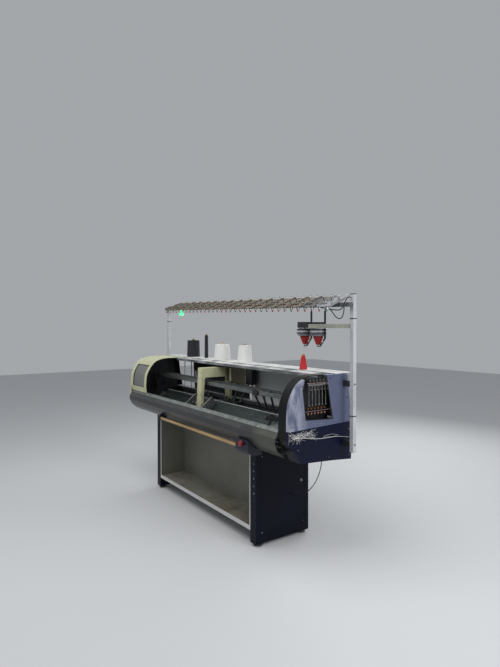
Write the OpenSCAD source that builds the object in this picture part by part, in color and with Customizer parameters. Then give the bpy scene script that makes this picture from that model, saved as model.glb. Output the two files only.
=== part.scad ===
// Computer-controlled flat knitting machine with its yarn stand.
// X runs along the needle beds, the operator stands at -Y, +Z is up.
// The origin is on the floor, below the middle of the machine.

/* [Machine] */
// Half of the length between the outer faces of the two end covers
end_x = 1320; // [1290:10:1350]
// Height of the yarn table's top face
table_z = 1290; // [1280:1:1300]
// Half of the length of the bed casting
casting_x = 1160; // [1100:10:1165]
// Width of each end ring under its end cover
ring_w = 80; // [70:5:85]
// Thickness of the cover sheets
skin = 5; // [3:0.5:8]

/* [Needle beds] */
// Height of the ridge where the two beds meet
ridge_z = 950; // [945:1:955]
// Width of the gap between the beds, where the fabric goes down
gap_w = 10; // [8:1:14]
// Half of the length of each needle bed
bed_x = 1000; // [800:10:1030]
// Depth of each bed down its slope, measured level
bed_run = 135; // [120:1:140]
// Thickness of a bed, measured level
bed_t = 19.8; // [16:0.2:24]
// Distance between two needle slots
slot_pitch = 20; // [16:1:40]
// Width of a needle slot
slot_w = 9; // [4:0.5:12]
// Depth of a needle slot
slot_d = 4; // [2:0.5:6]

/* [Carriage] */
// Length of the two cam boxes
cam_len = 290; // [240:10:320]
// Place of the middle of the carriage along the beds
carriage_x = -145; // [-300:5:300]
// Clearance of the carriage shoes on their ways
way_gap = 0.3; // [0.2:0.1:1]
// Width of the bridge
bridge_w = 75; // [50:5:100]
// Number of solenoids in a row on a cam box
solenoids = 5; // [3:1:6]

/* [Yarn feeders] */
// Distance between two feeder rails
rail_pitch = 40; // [40:1:44]
// Height of the middle of the feeder rails
rail_z = 1100; // [1095:1:1104]
// Length of a feeder's sliding block
feeder_len = 60; // [40:5:70]

/* [Stand] */
// Half of the distance between the two stand posts
post_x = 1400; // [1370:5:1410]
// Side of a stand post
post_w = 30; // [25:1:34]
// Height of the posts' tops
post_top = 1826; // [1800:1:1850]
// Half of the length of the tensioner rail
top_rail_x = 1412; // [1400:1:1414]
// Slope of the tensioner rail down to the right, in degrees
rail_slope = 0.98; // [0:0.02:1]
// Number of tensioners on the rail
tensioner_count = 17; // [9:2:17]
// Distance between two tensioners
tensioner_pitch = 150; // [146:1:152]
// Width of a tensioner's tray
tray_w = 136; // [110:2:140]

/* [Lower body] */
// Outer face of the pedestals
pedestal_x = 838; // [820:1:860]
// Width of a pedestal seen from the front
pedestal_w = 68; // [50:1:100]
// Height of the levelling feet
foot_h = 22; // [15:1:40]
// Height of the tray floor
tray_z = 127; // [100:1:200]
// Diameter of the operating bar
bar_d = 24; // [18:1:30]
// Diameter of the main take-down roller
roller_d = 50; // [40:1:54]
// Diameter of the pinch roller
pinch_d = 36; // [30:1:40]

/* [Hidden] */

$fn = 48;
// Faces of the covers and beds
ring_x = end_x - 30;
band_x = ring_x - ring_w;
hood_x = -920;
cover_top = table_z - 4;
table_front = 110;
slope_z = ridge_z + gap_w / 2;
casting_low = 748;
ledge_y = 125;
ledge_z = slope_z - 2 * bed_t - ledge_y;
casting_y = 232;
way_in = 172;
way_w = 20;
way_h = 22;
// Post and rails of the stand
post_y = 195;
top_rail_h = 30;
top_rail_y = post_y - post_w / 2;
top_rail_z = post_top - 6;
mid_rail_h = 28;
mid_rail_y = 52;
mid_rail_t = 12;
mid_rail_start = 1110;
// Storage feeders
store_x = [998, 1138];
store_y = 120;
// The drums' tops lie a little above halfway from the table to the posts' tops
drum_top = (table_z + post_top) / 2 + 40;
stem_top = post_top - 108;
mid_rail_z = drum_top + 14;
drum_r = 60;
head_r = 54;
stem_x = 69;
drum_pin = 6;
fit = 0.05;
// Belt and pulleys
pulley_x = 1215;
pulley_z = 875;
pulley_r = 30;
belt_y = 239;
belt_w = 18;
shaft_r = 7;
// Take-down rollers
roller_z = 790;
roller_y = roller_d / 2 + 2;
pinch_y = roller_y - roller_d / 2 - pinch_d / 2 - 0.3;
roller_x = 950;
journal_r = 8;
channel_y = 75;
channel_z = 820;
// Operating bar and stop button
bar_y = -316;
bar_z = 750;
bar_left = -520;
bar_right = 752;
bar_pin = 7;
switch_x = 842;
switch_z = 783;
switch_y = -330;
// Side tension window and its spring arms
arm_count = 6;
arm_pitch = 30;
arm_y = -118;
arm_x = 1304;
arm_z = 1222;
arm_len = 128;
arm_pin = 2.5;
// Hole of the motor lead in the right ring
lead_x = 1240;
lead_y = 60;
// Yarn feeders: side of the rail and place along it at rest
feeder_rail_no = [0, 0, 1, 2, 3, 3];
feeder_side = [-1, 1, -1, 1, -1, 1];
feeder_x = [640, 715, 790, 865, 215, 305];
block_t = 11;
rail_t = 10;
rail_h = 30;

// Side view of an end cover, from the lower front corner round the front and the top
low_front = [[-203, 722], [-249, 805], [-296, 846], [-306, 880]];
front_knots = [[-300, 939], [-299, 1020], [-293, 1099], [-282, 1135], [-266, 1168],
    [-240, 1208], [-205, 1245], [-160, 1268], [-105, 1282], [-45, cover_top]];
upper_rear = [[215, cover_top], [228, 1272], [246, 1121], [277, 953]];
low_rear = [[263, 686], [70, 704]];

function unit(v) = v / norm(v);
function clockwise(v) = [v[1], -v[0]];
// The corner of a closed outline moved inwards by t
function inset_corner(p, q, r, t) =
    let (a = clockwise(unit(q - p)), b = clockwise(unit(r - q)), m = unit(a + b))
    q + m * t / (m * a);
function inset(pts, t) =
    let (n = len(pts))
    [for (i = [0 : n - 1]) inset_corner(pts[(i + n - 1) % n], pts[i], pts[(i + 1) % n], t)];
// A strip of thickness t on the inner side of an open path
function strip(pts, t) =
    let (n = len(pts))
    concat(pts, [for (i = [n - 1 : -1 : 0])
        i == 0 ? pts[0] + clockwise(unit(pts[1] - pts[0])) * t :
        i == n - 1 ? pts[i] + clockwise(unit(pts[i] - pts[i - 1])) * t :
        inset_corner(pts[i - 1], pts[i], pts[i + 1], t)]);
// A smooth path through given points, with n steps between two of them
function smooth(p, n) =
    concat([for (i = [0 : len(p) - 2], k = [0 : n - 1])
        let (a = p[max(i - 1, 0)], b = p[i], c = p[i + 1], d = p[min(i + 2, len(p) - 1)], t = k / n)
        (2 * b + (c - a) * t + (2 * a - 5 * b + 4 * c - d) * t * t
            + (3 * b - a - 3 * c + d) * t * t * t) / 2],
        [p[len(p) - 1]]);
function slice(v, a, b) = [for (i = [a : b]) v[i]];
function mirrored(pts) = [for (p = pts) [-p[0], p[1]]];
front_curve = smooth(front_knots, 3);
upper_outline = concat(front_curve, upper_rear);
outline = concat(low_front, upper_outline, low_rear);
lower_outline = concat(low_front, [front_knots[0], upper_rear[3]], low_rear);

// A side-view shape, drawn in Y and Z, carried along X from x0 to x1
module along_x(x0, x1) {
    translate([x0, 0, 0]) rotate([90, 0, 90]) linear_extrude(height = x1 - x0) children();
}
module block(x0, x1, y0, y1, z0, z1) {
    translate([x0, y0, z0]) cube([x1 - x0, y1 - y0, z1 - z0]);
}
module rod_x(x0, x1, y, z, r) {
    translate([x0, y, z]) rotate([0, 90, 0]) cylinder(h = x1 - x0, r = r);
}
module rod_y(x, y0, y1, z, r) {
    translate([x, y0, z]) rotate([-90, 0, 0]) cylinder(h = y1 - y0, r = r);
}
module rod_z(x, y, z0, z1, r) {
    translate([x, y, z0]) cylinder(h = z1 - z0, r = r);
}

// Pedestals: folded and welded boxes with a screwed outer door
pedestal_front = -210;
pedestal_rear = 300;
module pedestal_box(side) {
    outer = side > 0 ? pedestal_x : -pedestal_x;
    difference() {
        block(min(outer, outer - side * pedestal_w), max(outer, outer - side * pedestal_w),
            pedestal_front, pedestal_rear, foot_h, casting_low);
        // Seam of the service door
        for (z = [foot_h + 60, casting_low - 70])
            block(outer - 3, outer + 3, pedestal_front + 40, pedestal_rear - 40, z, z + 3);
        for (y = [pedestal_front + 40, pedestal_rear - 43])
            block(outer - 3, outer + 3, y, y + 3, foot_h + 60, casting_low - 67);
    }
    // Row of plugs down the front edge
    for (i = [0 : 4])
        rod_y(outer - side * 16, pedestal_front - 5, pedestal_front, 395 + i * 54, 7);
}
module left_pedestal() { color("#16203a") pedestal_box(-1); }
module right_pedestal() { color("#16203a") pedestal_box(1); }

// Levelling feet: turned discs on screws
module levelling_feet() {
    color("#3a3d42")
        for (side = [-1, 1], y = [pedestal_front + 45, pedestal_rear - 45]) {
            rod_z(side * (pedestal_x - pedestal_w / 2), y, 0, 10, 30);
            rod_z(side * (pedestal_x - pedestal_w / 2), y, 10, foot_h, 9);
        }
}

// Bed casting: two beams with a channel for the fabric, tied together at both ends
beam = [
    [-12, slope_z - 2 * bed_t - 12], [-ledge_y, ledge_z], [-casting_y, ledge_z],
    [-casting_y, casting_low], [-channel_y, casting_low], [-channel_y, channel_z],
    [-12, channel_z + 63]
];
tie_x = 1040;
module way(side) {
    y = side > 0 ? way_in : -way_in - way_w;
    block(-casting_x, casting_x, y, y + way_w, ledge_z, ledge_z + way_h);
}
module bed_casting() {
    color("#4a4d50") {
        along_x(-casting_x, casting_x) polygon(beam);
        along_x(-casting_x, casting_x) polygon(mirrored(beam));
        for (side = [-1, 1]) {
            along_x(side > 0 ? tie_x : -casting_x, side > 0 ? casting_x : -tie_x)
                polygon(concat(slice(beam, 0, 3),
                    [[casting_y, casting_low], [casting_y, ledge_z], [ledge_y, ledge_z],
                    [12, slope_z - 2 * bed_t - 12]]));
            way(side);
        }
        // Arm and shaft of the idler pulley
        block(-pulley_x - 20, -casting_x + 2, 140, 160, casting_low + 4, ledge_z);
        block(-pulley_x - 20, -pulley_x + 20, 140, 160, ledge_z - 1, pulley_z + 20);
        rod_y(-pulley_x, 150, belt_y + belt_w + 8, pulley_z, shaft_r);
    }
}

// Needle beds: ground plates with a slot for each needle
module bed_plate() {
    n = floor(2 * bed_x / slot_pitch);
    difference() {
        along_x(-bed_x, bed_x) polygon([
            [-gap_w / 2, ridge_z], [-gap_w / 2 - bed_run, ridge_z - bed_run],
            [-gap_w / 2 - bed_run + bed_t, ridge_z - bed_run - bed_t],
            [-gap_w / 2, ridge_z - 2 * bed_t]
        ]);
        translate([0, -gap_w / 2, ridge_z]) rotate([45, 0, 0])
            translate([0, 0, -slot_d]) linear_extrude(height = slot_d + 1)
                for (i = [0 : n - 1])
                    translate([-bed_x + (i + 0.5) * slot_pitch - slot_w / 2, -1.5 * bed_run])
                        square([slot_w, 1.5 * bed_run + 20]);
    }
}
module front_needle_bed() { color("#41504f") bed_plate(); }
module rear_needle_bed() {
    color("#41504f") translate([0, 0, 0.3]) mirror([0, 1, 0]) bed_plate();
}

// Front cover: one long bulging sheet with a bevelled top and a flange to the casting
front_path = [[-250, 745], [-300, 790], [-325, 840], [-322, 880], [-300, 915],
    [-280, 932], [-264, 932]];
module front_cover() {
    color("#3d3f42") {
        along_x(-ring_x + 5, band_x - 5) polygon(strip(front_path, 4));
        // Fixing flanges that reach the casting
        for (x = [-1000, -500, 0, 500, 1000])
            block(x - 20, x + 20, -258, -casting_y, casting_low + 4, casting_low + 8);
    }
}
module front_ledge() {
    color("#858a86")
        along_x(-ring_x + 5, band_x - 5)
            polygon([[-280, 932], [-300, 915], [-302.6, 918.1], [-281.4, 936.1], [-262, 936.1],
                [-262, 932]]);
    // Cover plate over the well beyond the right end of the beds
    color("#858a86") block(1065, band_x - 5, -262, -168, 932, 936.1);
}

// End covers: deep-drawn pans that follow the outline
module pan(pts, x0, x1, inner0, inner1) {
    difference() {
        along_x(x0, x1) polygon(pts);
        along_x(inner0, inner1) polygon(inset(pts, skin));
    }
}
window = [[-158, 1310], [-185, 1197], [-158, 1001], [83, 985], [19, 1310]];
module right_end_upper() {
    color("#6c738f")
        difference() {
            pan(upper_outline, ring_x, end_x, ring_x - 1, end_x - skin);
            along_x(ring_x - 1, end_x + 1) polygon(window);
        }
}
module right_end_lower() {
    color("#1b2442") pan(lower_outline, ring_x, end_x, ring_x - 1, end_x - skin);
}
module left_end_cover() {
    color("#bdbd96")
        difference() {
            pan(outline, -end_x, -ring_x, -end_x + skin, -ring_x + 1);
            along_x(-end_x - 1, -ring_x + 1) polygon(window);
        }
}

// Dark ring between the open front and the right end cover
module right_arch_band() {
    color("#17181c")
        difference() {
            along_x(band_x, ring_x) polygon(outline);
            along_x(band_x - 1, ring_x + 1) polygon(inset(outline, skin));
            // Hole for the motor lead
            rod_z(lead_x, lead_y, low_front[0][1] - 40, low_front[0][1] + 20, 8);
        }
}

// Cream hood over the left end, with a shallow recess in its sloping front
hood_path = concat([[-292, 937]], slice(front_curve, 2, len(front_curve) - 1),
    [[table_front + 40, cover_top]]);
recess = [[-320, 990], [-320, 1212], [-100, 1212], [-100, 990]];
module left_arch() {
    color("#c2c29c") {
        difference() {
            union() {
                along_x(-ring_x, hood_x) polygon(strip(hood_path, skin));
                intersection() {
                    along_x(-1265, -950) polygon(strip(hood_path, 14));
                    along_x(-1265, -950) polygon([[-320, 975], [-320, 1227], [-100, 1227],
                        [-100, 975]]);
                }
            }
            intersection() {
                along_x(-1250, -965) polygon(strip(hood_path, 9));
                along_x(-1250, -965) polygon(recess);
            }
        }
        // Rear, top and bottom of the left end ring
        along_x(-ring_x, -ring_x + ring_w - 20)
            polygon(strip(concat([[table_front, cover_top]], upper_rear, low_rear,
                [low_front[0]]), skin));
    }
}

// Yarn table: folded sheet with a deep front lip and door guides under its rear edge
table_rear = 290;
guide_z = 1250;
strut_x = [-1053, -906, 906, 1053];
module yarn_table() {
    color("#c3c8c8") {
        block(-end_x + 2, end_x - 2, table_front, table_rear, table_z - 4, table_z);
        block(hood_x + 3, band_x - 3, table_front, table_front + 4, table_z - 36, table_z - 3);
        along_x(hood_x + 3, band_x - 3)
            polygon([[table_front, table_z - 4], [table_front - 60, table_z - 12],
                [table_front - 60, table_z - 34], [table_front - 56, table_z - 34],
                [table_front - 56, table_z - 16], [table_front, table_z - 8]]);
        for (y = [216.5, 229.5, 242.5])
            block(-band_x + 20, band_x - 3, y, y + 3, guide_z, table_z - 3);
        for (x = strut_x)
            block(x - 4, x + 4, 209, 217, door_low, table_z - 3);
    }
}

// Rear: fixed lower sheet with the doors' lower guide, and two sliding doors
module rear_lower_cover() {
    color("#8d9192") {
        along_x(-ring_x + ring_w - 15, band_x - 5)
            polygon([[casting_y, 755], [266, 755], [270, 840], [277, 950],
                [277, 956], [208, 956], [208, 952], [272.5, 952], [262.3, 759],
                [casting_y, 759]]);
    }
}
door_low = 956;
door_high = 1259;
module door(x0, x1, y_low) {
    difference() {
        along_x(x0, x1)
            polygon([[y_low, door_low], [y_low - 18, door_high], [y_low - 14, door_high],
                [y_low + 4, door_low]]);
        // Finger holes
        for (x = [x0 + 40, x1 - 40]) {
            rod_y(x, y_low - 30, y_low + 10, 1075, 12);
            rod_y(x, y_low - 30, y_low + 10, 1135, 12);
            block(x - 12, x + 12, y_low - 30, y_low + 10, 1075, 1135);
        }
    }
}
module rear_door_left() { color("#2a2c30") door(-885, 125, 241); }
module rear_door_right() { color("#9ba1a2") door(143, 1193, 254); }

// Stand: square posts held off the end covers, a short rail and the tensioner rail
module stand_posts() {
    color("#c9cacc")
        for (side = [-1, 1]) {
            x = side * post_x;
            difference() {
                block(x - post_w / 2, x + post_w / 2, post_y - post_w / 2,
                    post_y + post_w / 2, 757, post_top);
                block(x - post_w / 2 + 3, x + post_w / 2 - 3, post_y - post_w / 2 + 3,
                    post_y + post_w / 2 - 3, 750, post_top - 3);
            }
            for (z = [790, 1200])
                block(min(side * end_x, x - side * post_w / 2),
                    max(side * end_x, x - side * post_w / 2),
                    post_y - 14, post_y + 14, z, z + 40);
        }
}
module storage_rail() {
    color("#b9bbbd") {
        block(mid_rail_start, post_x - post_w / 2, mid_rail_y, mid_rail_y + mid_rail_t,
            mid_rail_z - mid_rail_h / 2, mid_rail_z + mid_rail_h / 2);
        // Return arm to the post
        block(post_x - post_w / 2 - 14, post_x - post_w / 2, mid_rail_y, post_y + post_w / 2,
            mid_rail_z - mid_rail_h / 2, mid_rail_z + mid_rail_h / 2);
    }
}
// What hangs or stands on the sloping rail
module on_rail() {
    translate([-post_x, 0, top_rail_z]) rotate([0, rail_slope, 0])
        translate([post_x, 0, -top_rail_z]) children();
}
module tensioner_rail() {
    color("#8f8b84")
        on_rail() block(-top_rail_x, top_rail_x, top_rail_y - top_rail_h, top_rail_y,
            top_rail_z - top_rail_h, top_rail_z);
}
// One tensioner: a tilted tray with two lanes, each with discs, a blade and a hanging eye
tilt = 21;
tray_len = 216;
tray_seat = 6.5;
tray_skin = 2.5;
lane_x = 74;
row_shift = 46;
module tensioner(x) {
    translate([x, top_rail_y - top_rail_h / 2, top_rail_z]) {
        translate([-9, -12, 0]) cube([18, 24, 8]);
        rotate([tilt, 0, 0]) translate([-tray_w / 2, -tray_len / 2 + 4, tray_seat]) {
            difference() {
                cube([tray_w, tray_len, 14]);
                translate([tray_skin, -1, tray_skin])
                    cube([tray_w - 2 * tray_skin, tray_len + 2, 14]);
            }
            for (side = [-1, 1])
                translate([tray_w / 2 + side * lane_x / 2, 0, 0]) {
                    translate([0, 60, 1]) {
                        cylinder(h = 20, r = 3, $fn = 16);
                        cylinder(h = 6, r = 15, $fn = 24);
                        translate([0, 0, 9]) cylinder(h = 3, r = 15, $fn = 24);
                    }
                    translate([-4, tray_len - 8, 1]) cube([8, 4, 22]);
                    // Knot catcher blade and hanging eye at the front
                    translate([-12, -6, -22]) cube([4, 10, 30]);
                    translate([6, -6, -16]) cube([6, 8, 24]);
                }
        }
    }
}
module top_tensioners() {
    color("#6f675c")
        on_rail()
            for (i = [0 : tensioner_count - 1])
                tensioner(row_shift + (i - (tensioner_count - 1) / 2) * tensioner_pitch);
}
lamp_x = -1040;
module signal_lamp() {
    color("#2fbf6a")
        on_rail() rod_z(lamp_x, top_rail_y - top_rail_h / 2, top_rail_z - top_rail_h - 58,
            top_rail_z - top_rail_h, 24);
}

// Side tensioners: a backing pan in the window, a block row, a shaft and two guide bars
module side_frame() {
    y0 = arm_y - 18;
    y1 = arm_y + (arm_count - 1) * arm_pitch + 18;
    // Backing pan behind the window
    along_x(ring_x - 34, ring_x - 30)
        polygon([[-192, 1225], [-192, 985], [92, 976], [92, 1258], [-150, 1258]]);
    for (p = [[-192, -188], [88, 92]])
        block(ring_x - 34, end_x - skin, p[0], p[1], 1000, 1190);
    // Top rail and its tensioner blocks
    block(ring_x - 32, arm_x + 4, y0, y1, 1240, 1262);
    for (i = [0 : arm_count - 1])
        block(arm_x + 4, arm_x + 10, arm_y + i * arm_pitch - 9, arm_y + i * arm_pitch + 9,
            1234, 1266);
    // Shaft of the spring arms between two cheeks
    rod_y(arm_x, y0, y1, arm_z, arm_pin);
    for (y = [y0, y1 - 3])
        block(arm_x - 5, arm_x + 4, y, y + 3, arm_z - 5, 1241);
    // Guide bars with a black eye for each yarn
    for (z = [1066, 1032]) {
        block(ring_x - 32, arm_x - 18, y0, y1, z, z + 5);
        for (i = [0 : arm_count - 1])
            block(arm_x - 19, arm_x - 9, arm_y + i * arm_pitch - 7, arm_y + i * arm_pitch + 7,
                z - 8, z + 8);
    }
}
module side_tension_right() { color("#34363c") side_frame(); }
module spring_arm_shape(i) {
    y = arm_y + i * arm_pitch;
    difference() {
        union() {
            rod_y(arm_x, y - 5, y + 5, arm_z, 6);
            block(arm_x - 1.5, arm_x + 1.5, y - 1.5, y + 1.5, arm_z - arm_len, arm_z - 4);
            rod_y(arm_x, y - 2, y + 2, arm_z - arm_len - 4, 6);
        }
        rod_y(arm_x, y - 6, y + 6, arm_z, arm_pin + fit);
        rod_y(arm_x, y - 6, y + 6, arm_z - arm_len - 4, 3.5);
    }
}
module side_tension_left() {
    color("#34363c") mirror([1, 0, 0]) {
        side_frame();
        for (i = [0 : arm_count - 1])
            block(arm_x - 1.5, arm_x + 1.5, arm_y + i * arm_pitch - 1.5,
                arm_y + i * arm_pitch + 1.5, arm_z - arm_len, arm_z);
    }
}
module spring_arm_1() { color("#c8c8c4") spring_arm_shape(0); }
module spring_arm_2() { color("#c8c8c4") spring_arm_shape(1); }
module spring_arm_3() { color("#c8c8c4") spring_arm_shape(2); }
module spring_arm_4() { color("#c8c8c4") spring_arm_shape(3); }
module spring_arm_5() { color("#c8c8c4") spring_arm_shape(4); }
module spring_arm_6() { color("#c8c8c4") spring_arm_shape(5); }

// Feeder rails: four grooved bars between two end brackets
rail_y = [for (i = [0 : 3]) (i - 1.5) * rail_pitch];
module feeder_rails() {
    color("#8c9090")
        for (y = rail_y)
            difference() {
                block(-casting_x, casting_x, y - rail_t / 2, y + rail_t / 2,
                    rail_z - rail_h / 2, rail_z + rail_h / 2);
                for (side = [-1, 1])
                    block(-casting_x - 1, casting_x + 1, y + side * rail_t / 2 - 1.5,
                        y + side * rail_t / 2 + 1.5, rail_z - 3, rail_z + 3);
            }
}
bracket_half = [[-88, 780], [-88, 880], [-60, 960], [-88, rail_z - 30], [-88, rail_z + 25]];
module feeder_rail_brackets() {
    color("#2c2e31")
        for (side = [-1, 1])
            difference() {
                along_x(side > 0 ? casting_x : -casting_x - 14,
                    side > 0 ? casting_x + 14 : -casting_x)
                    polygon(concat(bracket_half, [for (i = [4 : -1 : 0])
                        [-bracket_half[i][0], bracket_half[i][1]]]));
                rod_x(side > 0 ? casting_x - 1 : -casting_x - 15,
                    side > 0 ? casting_x + 15 : -casting_x + 1, 0, 1010, 26);
            }
}

// A yarn feeder: block beside its rail, slanting arm and a tip over the gap
module feeder(i) {
    side = feeder_side[i];
    y_in = rail_y[feeder_rail_no[i]] + side * (rail_t / 2 + way_gap);
    y_mid = y_in + side * block_t / 2;
    tip_y = (i - 2.5) * 5.2;
    x = feeder_x[i];
    color("#15161a") {
        block(x - feeder_len / 2, x + feeder_len / 2, min(y_in, y_in + side * block_t),
            max(y_in, y_in + side * block_t), rail_z - 22, rail_z + 17);
        rod_z(x, y_mid, rail_z + 16, rail_z + 23, 4);
        hull() {
            translate([x - 12, y_mid - 2, rail_z - 24]) cube([24, 4, 4]);
            translate([x - 9, tip_y - 1.5, ridge_z + 24]) cube([18, 3, 2]);
        }
        block(x - 11, x + 9, tip_y - 1.9, tip_y + 1.9, ridge_z + 15, ridge_z + 25);
        rod_z(x, tip_y, ridge_z + 8, ridge_z + 26, 1.9);
    }
}
module feeder_1() { feeder(0); }
module feeder_2() { feeder(1); }
module feeder_3() { feeder(2); }
module feeder_4() { feeder(3); }
module feeder_5() { feeder(4); }
module feeder_6() { feeder(5); }

// Carriage: two cam boxes on shoes, joined by a bridge over the feeder rails
cam_low = slope_z + 10;
cam_sole = [[-31, cam_low - 31], [-158, cam_low - 158], [-163, ledge_z + 4],
    [-204, ledge_z + 4]];
cam_side = concat([[-197, 896], [-77, 990]], cam_sole, [[-204, 888]]);
// Height of the cam plate's upper face at a place y
plate_t = 38;
function plate_top(y) = cam_low + y + plate_t;
cam_plate = concat([[-172, plate_top(-172)], [-60, plate_top(-60)]], cam_sole,
    [[-204, plate_top(-172)]]);
cam_x0 = carriage_x - cam_len / 2;
cam_x1 = carriage_x + cam_len / 2;
module cam_box() {
    difference() {
        union() {
            along_x(cam_x0 + 4, cam_x1 - 4) polygon(cam_plate);
            for (x = [cam_x0, cam_x1 - 6])
                difference() {
                    along_x(x, x + 6) polygon(cam_side);
                    for (k = [0 : 3], j = [0, 1])
                        rod_x(x - 1, x + 7, -172 + k * 27 + j * 12, 892 + k * 23 - j * 10, 5);
                }
        }
        block(cam_x0 - 1, cam_x1 + 1, -way_in - way_w - way_gap, -way_in + way_gap,
            ledge_z, ledge_z + way_h + way_gap);
    }
    // Solenoids, apart from those in the way of the bridge's legs
    for (k = [0 : solenoids - 1], j = [0, 1]) {
        x = cam_x0 + 32 + k * (cam_len - 64) / (solenoids - 1);
        if (x < bridge_x - 14 || x > bridge_x + bridge_w + 14)
            translate([x, -152 + j * 46, plate_top(-152 + j * 46) - 3])
                rotate([45, 0, 0]) cylinder(h = 28, r = 13, $fn = 24);
    }
}
leg_low_y = -128;
leg_top_y = -112;
leg_d = 28;
rear_leg_y = 176;
bridge_x = carriage_x - 2 - bridge_w / 2;
arm_low = 1150;
arm_top = 1236;
module front_cam_box() { color("#2a2c2e") cam_box(); }
module rear_cam_box() {
    color("#2a2c2e") mirror([0, 1, 0]) cam_box();
    // Clamp over the belt's upper run
    color("#2a2c2e") {
        block(carriage_x + 50, carriage_x + 130, 198, belt_y + belt_w,
            pulley_z + pulley_r + 4, pulley_z + pulley_r + 9);
        block(carriage_x + 50, carriage_x + 130, 198, 204, plate_top(-172) - 2,
            pulley_z + pulley_r + 9);
    }
}
module carriage_bridge() {
    color("#b4b492") {
        x0 = bridge_x;
        x1 = bridge_x + bridge_w;
        // Leaning front leg with the arm, and the rear leg, both on the cam plates
        along_x(x0, x1) polygon([[leg_low_y, plate_top(leg_low_y)], [leg_top_y, arm_top],
            [138, arm_top], [138, arm_low], [leg_top_y + leg_d + 8, arm_low],
            [leg_top_y + leg_d, arm_low - 10], [leg_low_y + leg_d, plate_top(leg_low_y + leg_d)]]);
        block(x0 + 8, x1 - 8, 137, rear_leg_y + 2, arm_low + 8, arm_top - 8);
        along_x(x0, x1)
            polygon([[rear_leg_y, arm_top], [rear_leg_y + 30, arm_top],
                [rear_leg_y + 30, plate_top(-172)], [rear_leg_y, plate_top(-172)]]);
    }
}
box_len = 392;
module carriage_box() {
    color("#15151c") {
        block(bridge_x + bridge_w, bridge_x + bridge_w + box_len, 150, 204, 1105, 1240);
        rod_y(bridge_x + bridge_w + box_len - 30, 146, 150, 1112, 5);
    }
}

// Take-down: two rollers under the gap, carried by brackets in the casting's channel
module takedown_brackets() {
    color("#5a5d60")
        for (side = [-1, 1])
            difference() {
                along_x(side > 0 ? roller_x + 4 : -roller_x - 18,
                    side > 0 ? roller_x + 18 : -roller_x - 4)
                    polygon([[-channel_y, 752], [channel_y, 752], [channel_y, channel_z - 2],
                        [-channel_y, channel_z - 2]]);
                for (y = [roller_y, pinch_y])
                    rod_x(-roller_x - 30, roller_x + 30, y, roller_z, journal_r + fit);
            }
}
module takedown_roller() {
    color("#3b3b3d") {
        rod_x(-roller_x, roller_x, roller_y, roller_z, roller_d / 2);
        rod_x(-roller_x - 16, roller_x + 16, roller_y, roller_z, journal_r);
    }
}
module pinch_roller() {
    color("#6a6d70") {
        rod_x(-roller_x, roller_x, pinch_y, roller_z, pinch_d / 2);
        rod_x(-roller_x - 16, roller_x + 16, pinch_y, roller_z, journal_r);
    }
}

// Fabric tray: folded sheet between the pedestals, open at the front
tray_in = pedestal_x - pedestal_w;
tray_back = 60;
sheet = 3;
module fabric_tray() {
    color("#8f8d84") {
        block(-tray_in, tray_in, -205, tray_back, tray_z, tray_z + sheet);
        block(-tray_in, tray_in, -208, -205, tray_z - 20, tray_z + 12);
        block(-tray_in, tray_in, tray_back - sheet, tray_back, tray_z, casting_low - 4);
        for (side = [-1, 1]) {
            x = side > 0 ? tray_in - sheet : -tray_in;
            block(x, x + sheet, -205, tray_back, tray_z, casting_low - 4);
            block(side > 0 ? tray_in - 13 : -tray_in, side > 0 ? tray_in : -tray_in + 13,
                -208, -205, tray_z, casting_low - 4);
        }
    }
}

// Operating bar on its two brackets; the right one is the switch housing
switch_side = [[-232, 742], [-252, 742], [-303, 787], [-311, 806], [-330, 806], [-332, 735],
    [-322, 718], [-296, 703], [-262, 697], [pedestal_front, 697], [pedestal_front, 742]];
module bar_brackets() {
    color("#171c30")
        difference() {
            union() {
                along_x(bar_right + 4, bar_right + 160) polygon(switch_side);
                along_x(bar_left - 26, bar_left - 4)
                    polygon([[-334, 732], [-298, 732], [-258, 751], [-301, 789.5],
                        [-318, 789], [-334, 770]]);
            }
            rod_x(bar_left - 22, bar_left, bar_y, bar_z, bar_pin + fit);
            rod_x(bar_right, bar_right + 24, bar_y, bar_z, bar_pin + fit);
            rod_y(switch_x, switch_y - 2, switch_y + 14, switch_z, 8 + fit);
        }
}
module operating_bar() {
    color("#96784f") {
        rod_x(bar_left, bar_right, bar_y, bar_z, bar_d / 2);
        rod_x(bar_left - 18, bar_right + 20, bar_y, bar_z, bar_pin);
    }
}
module stop_button() {
    color("#a8252b") {
        rod_y(switch_x, switch_y - 9, switch_y + 6, switch_z, 8);
        rod_y(switch_x, switch_y - 14, switch_y - 8, switch_z, 16);
        rod_y(switch_x, switch_y - 24, switch_y - 13, switch_z, 20);
    }
}

// Drive: servo motor inside the right ring, toothed belt and two flanged pulleys
module drive_motor() {
    color("#26282b") {
        block(casting_x, pulley_x - 20, 140, 160, casting_low + 4, ledge_z);
        block(pulley_x - 38, pulley_x + 45, 94, 225, pulley_z - 45, pulley_z + 45);
        block(pulley_x - 40, pulley_x - 20, 140, 160, casting_low + 4, pulley_z);
        block(pulley_x - 37, pulley_x + 37, 20, 95, pulley_z - 37, pulley_z + 37);
        rod_y(pulley_x, 224, belt_y + belt_w + 8, pulley_z, shaft_r);
    }
}
module pulley_shape(x) {
    difference() {
        union() {
            rod_y(x, belt_y - 1, belt_y + belt_w + 1, pulley_z, pulley_r);
            rod_y(x, belt_y - 4, belt_y - 1, pulley_z, pulley_r + 5);
            rod_y(x, belt_y + belt_w + 1, belt_y + belt_w + 4, pulley_z, pulley_r + 5);
        }
        rod_y(x, belt_y - 5, belt_y + belt_w + 5, pulley_z, shaft_r + fit);
    }
}
module drive_pulley() { color("#a0a3a6") pulley_shape(pulley_x); }
module idler_pulley() { color("#a0a3a6") pulley_shape(-pulley_x); }
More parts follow.
